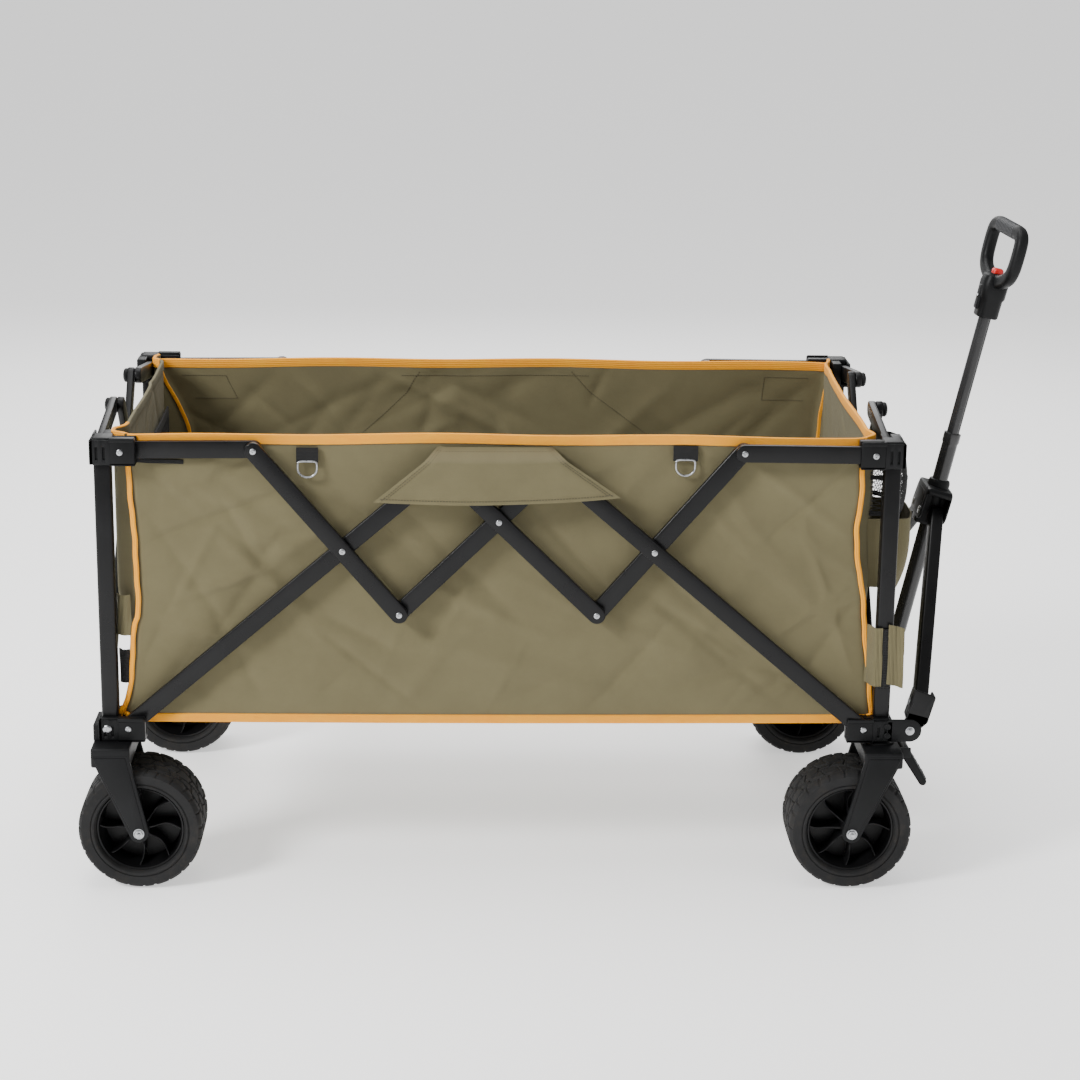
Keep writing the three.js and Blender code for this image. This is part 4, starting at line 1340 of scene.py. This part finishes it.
for which, points, body, outward, anchor in (
    ("near", nearPoints, "rear_near", -1, -c["sideAnchor"]),
    ("far", farPoints, "front_far", 1, c["sideAnchor"]),
):
    top, bottom = edgeTapes(points + shift, outward)
    for part, (shell, uv) in (("top", top), ("hem", bottom)):
        piece = makePiece(
            f"{which}_side_{part}_binding", shell, orangeTape, body, "binding", (), 50, uv
        )
        sideFold(piece)
    seams = []
    for k in (0, -1):
        path = (points[k] + shift)[2:-2:2].copy()
        path[:, 1] = outward * (283.6 if outward < 0 else 281.4) * mm
        path[:, 0] += 0.4 * mm * np.sin(path[:, 2] * 150) + 0.6 * mm * np.sin(path[:, 2] * 61 + 1)
        seams.append(tapeShell(path, pipeSection[:, ::-1], (0, -outward, 0)))
        if outward > 0:
            seams.append(
                tapeShell(path - [0, 10 * mm, 0], pipeSection[:, ::-1] * 0.8, (0, -outward, 0))
            )
    for side in (-1, 1):
        x0 = (-541 if side < 0 else 548) * mm
        curl = np.array(
            [
                (0, 264), (-3, 258), (-5.5, 251), (-3, 244.5), (3, 242.5), (7.5, 246), (5.5, 251.5),
                (0.5, 252),
            ]
        ) * mm
        lump = [2.4, 3.6, 4.6, 5.2, 5.4, 4.2, 3.4, 2.2]
        curl = np.stack(
            [x0 - side * curl[:, 0], outward * (284 + np.array(lump) * 0.6) * mm, curl[:, 1]], 1
        )
        if outward > 0:
            curl[:, 0] *= -1
        seams.append(
            tapeShell(smoothPath(curl, 40) + shift, pipeSection[:, ::-1] * 1.05, (0, -outward, 0))
        )
    shell, uv = joinWithUv(*seams)
    piece = makePiece(f"{which}_corner_piping", shell, orangeTape, body, "binding", (), 50, uv)
    sideFold(piece)
print("side panels made")


endPanel = {
    "cols": 130, "rows": 90, "rearPuff": 21 * mm, "frontPuff": 7 * mm, "puffAt": 0.045,
    "puffWide": 0.03, "half": 281 * mm, "sag": 1.5 * mm, "cornerShare": 0.05, "frontMost": 541 * mm,
}


def endSurface(cols, rows, seed, edgeX, puff):
    # an end panel across the width, set in by a sag, with its two borders meeting the corner seams
    share, lift = np.meshgrid(np.linspace(0, 1, cols), np.linspace(0, 1, rows), indexing="ij")
    z = c["low"] + (c["high"] - c["low"]) * lift + 2 * mm * np.sin(share * 9) * lift
    sMetre, tMetre = share * c["spanY"], lift * c["rise"]
    bulge = creases(
        sMetre, tMetre, randomFolds(seed, 30, c["spanY"], c["rise"], 2.2 * mm)
    ) + waviness(sMetre, tMetre, seed + 5, 1.2 * mm)
    y = -endPanel["half"] + 2 * endPanel["half"] * share
    seam = edgeX(z, share > 0.5)
    corner = np.clip(np.minimum(share, 1 - share) / endPanel["cornerShare"], 0, 1)
    ease = corner * corner * (3 - 2 * corner)
    out = c["endX"] - endPanel["sag"] * np.sin(math.pi * share) * np.sin(math.pi * lift) + np.clip(
        bulge, -2 * mm, 7 * mm
    )
    x = seam + (out - seam) * ease
    near = np.minimum(share, 1 - share)
    bulgeCorner = puff * np.exp(
        -(((near - endPanel["puffAt"]) / endPanel["puffWide"]) ** 2)
    ) * smoothEdge(lift - 0.3, 0.2)
    bulgeCorner = bulgeCorner * np.clip(near / 0.02, 0, 1) ** 1.5
    x = np.minimum(x + bulgeCorner, c["endMost"])
    return np.stack([x, y, z], -1), np.stack([sMetre, tMetre], -1)


rearPoints, endUv = endSurface(
    endPanel["cols"], endPanel["rows"], 41, lambda z,
    far: np.abs(np.where(far, seamX(z, "farRear"), seamX(z, "nearRear"))), endPanel["rearPuff"],
)
rearPoints = rearPoints * [-1, 1, 1]
frontPoints, frontUv = endSurface(
    endPanel["cols"], endPanel["rows"], 57, lambda z,
    far: np.where(
        far, seamX(z, "farFront"), np.minimum(seamX(z, "nearFront"), endPanel["frontMost"])
    ),
    endPanel["frontPuff"],
)
rearEnd = clothPiece(
    "rear_end_cloth", rearPoints + shift, endUv, oliveCloth, "rear_near", (),
)
endFold(rearEnd)
frontEnd = clothPiece(
    "front_end_cloth", frontPoints + shift, frontUv, oliveCloth, "front_far", (),
)
endFold(frontEnd)
for which, points, body, anchor, outward in (
    ("rear", rearPoints, "rear_near", -c["endAnchor"], -1),
    ("front", frontPoints, "front_far", c["endAnchor"], 1),
):
    top = points[:, -1] + shift + [0, 0, -tapeDrop]
    shell, uv = tapeShell(top, tapeSection, (0, 0, 1))
    piece = makePiece(
        f"{which}_end_top_binding", shell, orangeTape if which == "front" else oliveCloth, body,
        "binding", (), 50, uv,
    )
    endFold(piece)
    if which == "rear":
        proud, over = [-0.6 * mm, 0, 0.6 * mm], tapeSection * [1.15, 1.05]
        ends = [tapeShell(run + proud, over, (0, 0, 1)) for run in (top[:16], top[-12:])]
        shell, uv = joinWithUv(*ends)
        piece = makePiece("rear_corner_binding", shell, orangeTape, body, "binding", (), 50, uv)
        endFold(piece)
    bottom = points[:, 0] + shift + [0, 0, hemRise]
    shell, uv = tapeShell(bottom, hemSection, (0, 0, 1))
    piece = makePiece(f"{which}_end_hem_binding", shell, oliveCloth, body, "fabric", (), 50, uv)
    endFold(piece)
print("end panels made")


def floorSurface(yLow, yHigh, seed):
    # a level sheet with shallow dents between its stiffening folds
    cols, rows = 150, 50
    share, across = np.meshgrid(np.linspace(0, 1, cols), np.linspace(0, 1, rows), indexing="ij")
    x = (-522 + 1044 * share) * mm
    y = yLow + (yHigh - yLow) * across
    bulge = waviness(x, y, seed, 1.0 * mm) + creases(
        x, y,
        [
            (a - 0.5, b - 0.28, e - 0.5, d - 0.28, g, w)
            for a, b, e, d, g, w in randomFolds(seed, 14, 1.0, 0.56, 1.2 * mm)
        ],
    )
    z = 253 * mm + np.clip(bulge, -2.2 * mm, 3 * mm)
    return np.stack([x, y, z], -1), np.stack([x, y], -1)


floorForm = {"half": 277 * mm, "gap": 0.1 * mm, "flat": (1.044, 0.277)}
halves = (("near", -floorForm["half"], -floorForm["gap"]), ("far", floorForm["gap"], floorForm["half"]))
for which, y0, y1 in halves:
    points, uv = floorSurface(y0, y1, 71 if which == "near" else 72)
    piece = clothPiece(
        f"floor_{which}_cloth", points + shift, uv, oliveCloth, f"floor_{which}_half",
        [f"floor_{which}"],
    )
    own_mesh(piece)
print("floor made")


flapForm = {
    "top": (-86 * mm, 74 * mm, 652 * mm), "low": (-178 * mm, 172 * mm, 578 * mm), "dip": 6 * mm,
    "face": -316.5 * mm, "root": -285.5 * mm,
}


def flapSurface(cols=140, rows=60):
    # a trapezoid hung from the binding: it steps out over the arms, then falls almost straight
    share, lift = np.meshgrid(np.linspace(0, 1, cols), np.linspace(0, 1, rows), indexing="ij")
    f = flapForm
    x0 = f["top"][0] + (f["low"][0] - f["top"][0]) * lift
    x1 = f["top"][1] + (f["low"][1] - f["top"][1]) * lift
    x = x0 + (x1 - x0) * share
    drop = f["low"][2] + 8 * mm * share - f["dip"] * np.sin(math.pi * share)
    z = f["top"][2] + (drop - f["top"][2]) * lift
    out = smoothEdge(lift + 0.02, 0.26)
    bow = 3 * mm * np.sin(math.pi * share) * lift + 1.2 * mm * np.sin(share * 14 + lift * 3) * lift
    y = f["root"] + (f["face"] - f["root"]) * out - bow * 0.7
    tuck = np.minimum(share, 1 - share)
    y += 6 * mm * np.clip(1 - tuck / 0.1, 0, 1) ** 2 * (1 - lift * 0.6)
    return np.stack([x, y, z], -1), np.stack([x, z], -1)


def gridLookup(points, share, lift):
    # bilinear reading of a grid of points at shares along its two sides
    m, n = points.shape[:2]
    i = np.clip(share * (m - 1), 0, m - 1.001)
    j = np.clip(lift * (n - 1), 0, n - 1.001)
    i0, j0 = i.astype(int), j.astype(int)
    fi, fj = (i - i0)[..., None], (j - j0)[..., None]
    return ((points[i0, j0] * (1 - fi) + points[i0 + 1, j0] * fi) * (1 - fj)
            + (points[i0, j0 + 1] * (1 - fi) + points[i0 + 1, j0 + 1] * fi) * fj)


def stitchRow(points, route, offset, pitch=4.2 * mm, size=0.55 * mm):
    # short stitches: small capsules along a route given as shares of a cloth grid
    route = np.asarray(route, float)
    fine = np.stack(
        [
            np.interp(np.linspace(0, 1, 400), np.linspace(0, 1, len(route)), route[:, k])
            for k in (0, 1)
        ],
        1,
    )
    line = gridLookup(points, fine[:, 0], fine[:, 1]) + offset
    run = np.concatenate([[0], np.cumsum(np.linalg.norm(np.diff(line, axis=0), axis=1))])
    count = max(2, int(run[-1] / pitch))
    starts = np.arange(count) * run[-1] / count
    shells = []
    at = starts[:, None] + np.array([0.0, 0.3, 0.6])[None] * pitch
    spots = np.stack([np.interp(at, run, line[:, k]) for k in range(3)], -1)
    for spot in spots:
        shells.append(swept(spot, ringCircle(size, 6), up=(0.11, 0.31, 0.94)))
    return joined(*shells)


flapPoints, flapUv = flapSurface()
flap = clothPiece(
    "side_flap_cloth", flapPoints + shift, flapUv, oliveCloth, "rear_near", (),
)
sideFold(flap)
seamOut = np.array([0, -1.2 * mm, 0])
rows = [
    [(0.01, 0.93), (0.99, 0.93)], [(0.022, 0.04), (0.022, 0.97)], [(0.978, 0.04), (0.978, 0.97)],
    [(0.02, 0.06), (0.98, 0.06)], [(0.045, 0.05), (0.035, 0.95)], [(0.955, 0.05), (0.965, 0.95)],
]
shell = joined(*[stitchRow(flapPoints + shift, route, seamOut) for route in rows])
threadOlive = hardMaterial(
    "stitchThread", (0.05, 0.042, 0.022), (0.08, 0.066, 0.036), 0.75, 900, 0.0, 0.0001
)
piece = makePiece("side_flap_stitches", shell, threadOlive, "rear_near", "fabric")
sideFold(piece)

# the webbing tabs, each as (end, first x, last x, top, ring) in millimetres, and the wire of their rings
ringForm = {
    "tabs": (("rear", -287, -256, 650, 607), ("front", 247, 282, 655, 612)),
    "tabOut": 284.6 * mm, "tabBow": 3.2 * mm, "tabStep": 1.6 * mm, "tabThick": 2.2 * mm, "below": 22,
    "half": 13.5 * mm, "out": 288.6 * mm, "wire": 1.55 * mm, "corner": 0.86,
}
r = ringForm
for side, x0, x1, zTop, zRing in r["tabs"]:
    mid = (x0 + x1) / 2 * mm
    half = (x1 - x0) / 2 * mm
    zLow = (zRing + r["below"]) * mm
    v = np.linspace(0, 1, 24)
    u = np.linspace(-1, 1, 10)
    uu, vv = np.meshgrid(u, v, indexing="ij")
    tab = np.stack(
        [
            mid + uu * half,
            -r["tabOut"] - r["tabBow"] * np.sin(np.pi * vv) * 0.6 - r["tabStep"] * vv,
            zTop * mm + (zLow - zTop * mm) * vv,
        ],
        -1,
    )
    piece = makePiece(
        f"{side}_ring_tab", thickSheet(tab + shift, r["tabThick"]), blackWeb, "rear_near",
        "webbing", (), 50, np.concatenate([np.stack([uu * half, vv * 0.03], -1).reshape(-1, 2)] * 2),
    )
    sideFold(piece)
    a = np.linspace(math.pi, 2 * math.pi, 24)
    wide, out = r["half"], -r["out"]
    inset0 = wide * r["corner"]
    arc = np.stack(
        [mid + wide * np.cos(a), np.full(24, out), (zRing + 13.5) * mm + wide * np.sin(a) * 0.95], 1
    )
    bar = np.array(
        [
            (mid + wide, out, (zRing + 19) * mm), (mid + inset0, -287.8 * mm, (zRing + 23) * mm),
            (mid, -287.6 * mm, (zRing + 23.6) * mm), (mid - inset0, -287.8 * mm, (zRing + 23) * mm),
            (mid - wide, out, (zRing + 19) * mm),
        ]
    )
    loopPath = smoothPath(np.concatenate([arc, bar]), 90, closed=True)
    ring = swept(loopPath, ringCircle(r["wire"], 12), up=(0, 1, 0), wrap=True)
    piece = makePiece(f"{side}_d_ring", (ring[0] + shift, ring[1]), zincSteel, "rear_near", "steel")
    sideFold(piece)

strap = np.array(
    [(-514, -286.5, 631), (-495, -287, 630), (-470, -286.8, 629.4), (-446, -286, 628.6)]
) * mm
shell, uv = tapeShell(
    smoothPath(strap, 24) + shift, ringBox(1.2 * mm, 3.1 * mm, 1.0 * mm, 3), (0, 0, 1)
)
piece = makePiece("rear_corner_strap", shell, blackWeb, "rear_near", "webbing", (), 50, uv)
sideFold(piece)

# seams sewn on the far panel, seen inside the basket
inside = farPoints + shift
rows = []


def farRoute(route):
    # basket millimetres to shares of the far grid, whose first side runs from the front to the rear
    return [(0.5 - x / 1060, (z - 243) / 421) for x, z in route]


for route in (
    [(-330, 470), (-150, 610), (-120, 648)], [(330, 470), (150, 610), (120, 648)],
    [(-150, 640), (150, 640)], [(-500, 640), (-430, 640), (-430, 600), (-500, 600)],
    [(500, 640), (430, 640), (430, 600), (500, 600)],
):
    rows.append(stitchRow(inside, farRoute(route), np.array([0, -1.3 * mm, 0])))
piece = makePiece("far_panel_stitches", joined(*rows), threadOlive, "front_far", "fabric")
sideFold(piece)
print("flap, rings and seams made")


def netShell(points, cells, thick):
    # two sets of slanting strands over a surface given as a grid, each strand a thin four-sided tube
    shells = []
    m, n = cells
    section = ringBox(thick, thick * 0.7, thick * 0.3, 1)
    for sign in (-1, 1):
        for k in range(-n, m + 1):
            t = np.linspace(0, 1, 3 * n + 1)
            s = (k + sign * t * n + (n if sign < 0 else 0)) / m
            keep = (s >= 0) & (s <= 1)
            if keep.sum() < 4:
                continue
            line = gridLookup(points, s[keep], t[keep])
            shells.append(swept(line, section, up=(0.2, 0.1, 0.97)))
    return joined(*shells)


def bagSurface(cols, rows, y0, y1, depth, zLow, zHigh, flare):
    # a pocket's outer wall: a rounded U in plan, deepest in the middle, leaning out as it rises
    share, lift = np.meshgrid(np.linspace(0, 1, cols), np.linspace(0, 1, rows), indexing="ij")
    a = share * math.pi
    z = zLow + (zHigh - zLow) * lift
    grow = 1 + flare * lift - 0.25 * (1 - lift) ** 3
    x = p["wallX"] + depth * grow * np.abs(np.sin(a)) ** p["cornerPower"] + 1.5 * mm * np.sin(
        share * 17 + lift * 5
    )
    y = (y0 + y1) / 2 - (y1 - y0) / 2 * np.sign(np.cos(a)) * np.abs(np.cos(a)) ** 0.4
    z = z + 10 * mm * (1 - np.sin(a)) * (1 - lift)
    return np.stack([x, y, z], -1), np.stack([share * 0.26, z], -1)


pocketForm = {
    "across": (-264 * mm, -138 * mm), "depth": 62 * mm, "cloth": (432 * mm, 544 * mm),
    "net": (540 * mm, 640 * mm), "wallX": 533 * mm, "cornerPower": 0.3, "keep": 0.3,
    "anchor": (0, -0.262, 0.5), "flat": (0.262, 0.115), "bands": ((-1, 5), (24, 3.4), (1, 3.5)),
}
p = pocketForm


def pocketFold(piece):
    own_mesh(piece)


bagPoints, bagUv = bagSurface(90, 36, *p["across"], p["depth"], *p["cloth"], 0.08)
bag = clothPiece(
    "pocket_cloth", bagPoints + shift, bagUv, oliveCloth, "front_near", (),
)
pocketFold(bag)
v = np.linspace(0, 1, 14)
bottomRing = bagPoints[:, 0]
flat = bottomRing[:, None] * (1 - v[None, :, None]) + (
    np.array([p["wallX"], 0, 447 * mm]) + bottomRing * [0, 1, 0]
)[:, None] * v[None, :, None]
piece = makePiece(
    "pocket_bottom", thickSheet(flat + shift, 1.4 * mm), oliveCloth, "front_near", "fabric", (), 50,
    np.concatenate([flat[..., :2].reshape(-1, 2)] * 2),
)
pocketFold(piece)
netPoints, _ = bagSurface(60, 40, *p["across"], p["depth"], *p["net"], -0.12)
netBlack = hardMaterial("netCord", (0.01, 0.01, 0.01), (0.025, 0.025, 0.025), 0.7, 900, 0.0, 0.0001)
piece = makePiece(
    "pocket_net", netShell(netPoints + shift, (40, 13), 0.6 * mm), netBlack, "front_near", "webbing"
)
pocketFold(piece)
bands = []
for row, wide in p["bands"]:
    bands.append(
        tapeShell(netPoints[:, row] + shift, ringBox(1.3 * mm, wide * mm, 1.1 * mm, 3), (0, 0, 1))
    )
shell, uv = joinWithUv(*bands)
piece = makePiece("pocket_elastic", shell, blackWeb, "front_near", "webbing", (), 50, uv)
pocketFold(piece)

# black net pocket sewn inside the rear end
yy, zz = np.meshgrid(np.linspace(-215, 215, 60), np.linspace(400, 590, 30), indexing="ij")
inner = np.stack(
    [-524.6 * mm + 0.8 * mm * np.sin(yy / 60) + 1.2 * mm * (zz - 400) / 190, yy * mm, zz * mm], -1
)
piece = makePiece(
    "inner_net", netShell(inner + shift, (60, 27), 0.55 * mm), netBlack, "rear_near", "webbing"
)
endFold(piece)
edges = (
    (inner[:, -1], 8, (0, 0, 1)), (inner[:, 0], 5, (0, 0, 1)), (inner[0], 6, (0, 1, 0)),
    (inner[-1], 6, (0, 1, 0)),
)
bands = [
    tapeShell(edge + shift, ringBox(1.4 * mm, wide * mm, 1.2 * mm, 3), up)
    for edge, wide, up in edges
]
shell, uv = joinWithUv(*bands)
piece = makePiece("inner_net_binding", shell, blackWeb, "rear_near", "webbing", (), 50, uv)
endFold(piece)


def tabSheet(
    name, route, zLow, zHigh, body, material=oliveCloth, thick=1.6 * mm, slotName="fabric",
    lean=0.0,
):
    # a cloth tab that holds a corner to its post: a plan curve carried up, its edges a little wavy
    path = smoothPath(np.array(route, float) * mm, 60)
    rise = np.linspace(0, 1, 30)
    wave = 1.1 * mm * np.sin(np.arange(60)[:, None] * 0.23 + rise[None] * 4)
    z = (zLow + (zHigh - zLow) * rise)[None] * mm + lean * (path[:, :1] - path[0, 0])
    points = np.stack(
        [path[:, :1] + wave * 0.5 + 0 * z, path[:, 1:2] - np.abs(wave) * 0.6 + 0 * z, z], -1
    )
    run = np.concatenate([[0], np.cumsum(np.linalg.norm(np.diff(path, axis=0), axis=1))])
    uv = np.stack([run[:, None] + 0 * z, z], -1)
    verts = thickSheet(points + shift, thick)
    piece = makePiece(
        name, verts, material, body, slotName, (), 50, np.concatenate([uv.reshape(-1, 2)] * 2)
    )
    return piece


tabSheet(
    "front_post_tab_left", [(534, -282), (538, -288), (544, -304.6), (550, -306), (555, -306)], 304,
    392, "front_near",
)
tabSheet(
    "front_post_tab_hook", [(551, -304.6), (556, -305.2), (562, -305.2), (567, -304.6)], 300, 390,
    "front_near", blackWeb, 1.8 * mm, "webbing", 0.0,
)
tabSheet(
    "front_post_tab_right", [(563, -306.6), (570, -306.4), (576, -305), (582, -307), (586, -309)],
    308, 398, "front_near", lean=-0.25,
)
tabSheet(
    "rear_post_tab", [(-527, -284), (-533, -287), (-540, -286), (-545, -281), (-546, -274)], 372,
    432, "rear_near",
)
tabSheet(
    "rear_post_tab_low", [(-530, -283), (-536, -285.5), (-542, -283), (-545, -276)], 300, 350,
    "rear_near", blackWeb, 1.6 * mm, "webbing", 0.0,
)
print("pockets and tabs made")


camera = bpy.data.objects.new("camera", bpy.data.cameras.new("camera"))
bpy.context.scene.collection.objects.link(camera)
cameraForm = {
    "lens": 86.9, "sensor": 36, "turn": (0.0312, 0.2691, 0.0125),
    "place": (-0.0529, -3.8768, 1.5072),
}
camera.data.lens = cameraForm["lens"]
camera.data.sensor_width = cameraForm["sensor"]
yaw, pitch, roll = cameraForm["turn"]
ahead = np.array([math.sin(yaw) * math.cos(pitch), math.cos(yaw) * math.cos(pitch), -math.sin(pitch)])
right = np.array([math.cos(yaw), -math.sin(yaw), 0])
above = np.cross(right, ahead)
tilted = right * math.cos(roll) + above * math.sin(roll)
upright = above * math.cos(roll) - right * math.sin(roll)
place = Matrix.Identity(4)
for i, axis in enumerate((tilted, upright, -ahead)):
    for k in range(3):
        place[k][i] = axis[k]
x, y, z = cameraForm["place"]
place.translation = Vector((x + middleX, y, z))
camera.matrix_world = place
bpy.context.scene.camera = camera

studio = {
    "key": (230, 1.2, (-3.2, -2.6, 3.0)), "side": (10, 2.0, (3.0, -1.6, 1.8)),
    "top": (90, 2.6, (-0.4, 0.4, 3.4)), "back": (60, 2.5, (0.0, 3.2, 2.2)), "world": 0.45,
}
groundForm = {"color": (0.95, 0.945, 0.94, 1), "rough": 0.7, "glow": 0.75, "half": 60.0}
for name in ("key", "side", "top", "back"):
    power, size, spot = studio[name]
    light = bpy.data.lights.new(name, "AREA")
    light.energy = power
    light.size = size
    lamp = bpy.data.objects.new(name, light)
    lamp.location = spot
    aim = Vector((0.0, 0.0, 0.4)) - lamp.location
    lamp.rotation_euler = aim.to_track_quat("-Z", "Y").to_euler()
    bpy.context.scene.collection.objects.link(lamp)
world = bpy.data.worlds.new("studio")
world.use_nodes = True
world.node_tree.nodes["Background"].inputs["Color"].default_value = (1, 1, 1, 1)
world.node_tree.nodes["Background"].inputs["Strength"].default_value = studio["world"]
bpy.context.scene.world = world

ground, _, groundShader, _ = newMaterial("paleFloor")
groundShader.inputs["Base Color"].default_value = groundForm["color"]
groundShader.inputs["Roughness"].default_value = groundForm["rough"]
groundShader.inputs["Emission Color"].default_value = (1, 1, 1, 1)
groundShader.inputs["Emission Strength"].default_value = groundForm["glow"]
floorMesh = bpy.data.meshes.new("studio_floor")
half = groundForm["half"]
floorMesh.from_pydata(
    [(-half, -half, 0), (half, -half, 0), (half, half, 0), (-half, half, 0)], [], [(0, 1, 2, 3)]
)
floorMesh.materials.append(ground)
studioFloor = bpy.data.objects.new("studio_floor", floorMesh)
bpy.context.scene.collection.objects.link(studioFloor)
print("camera and lights set")
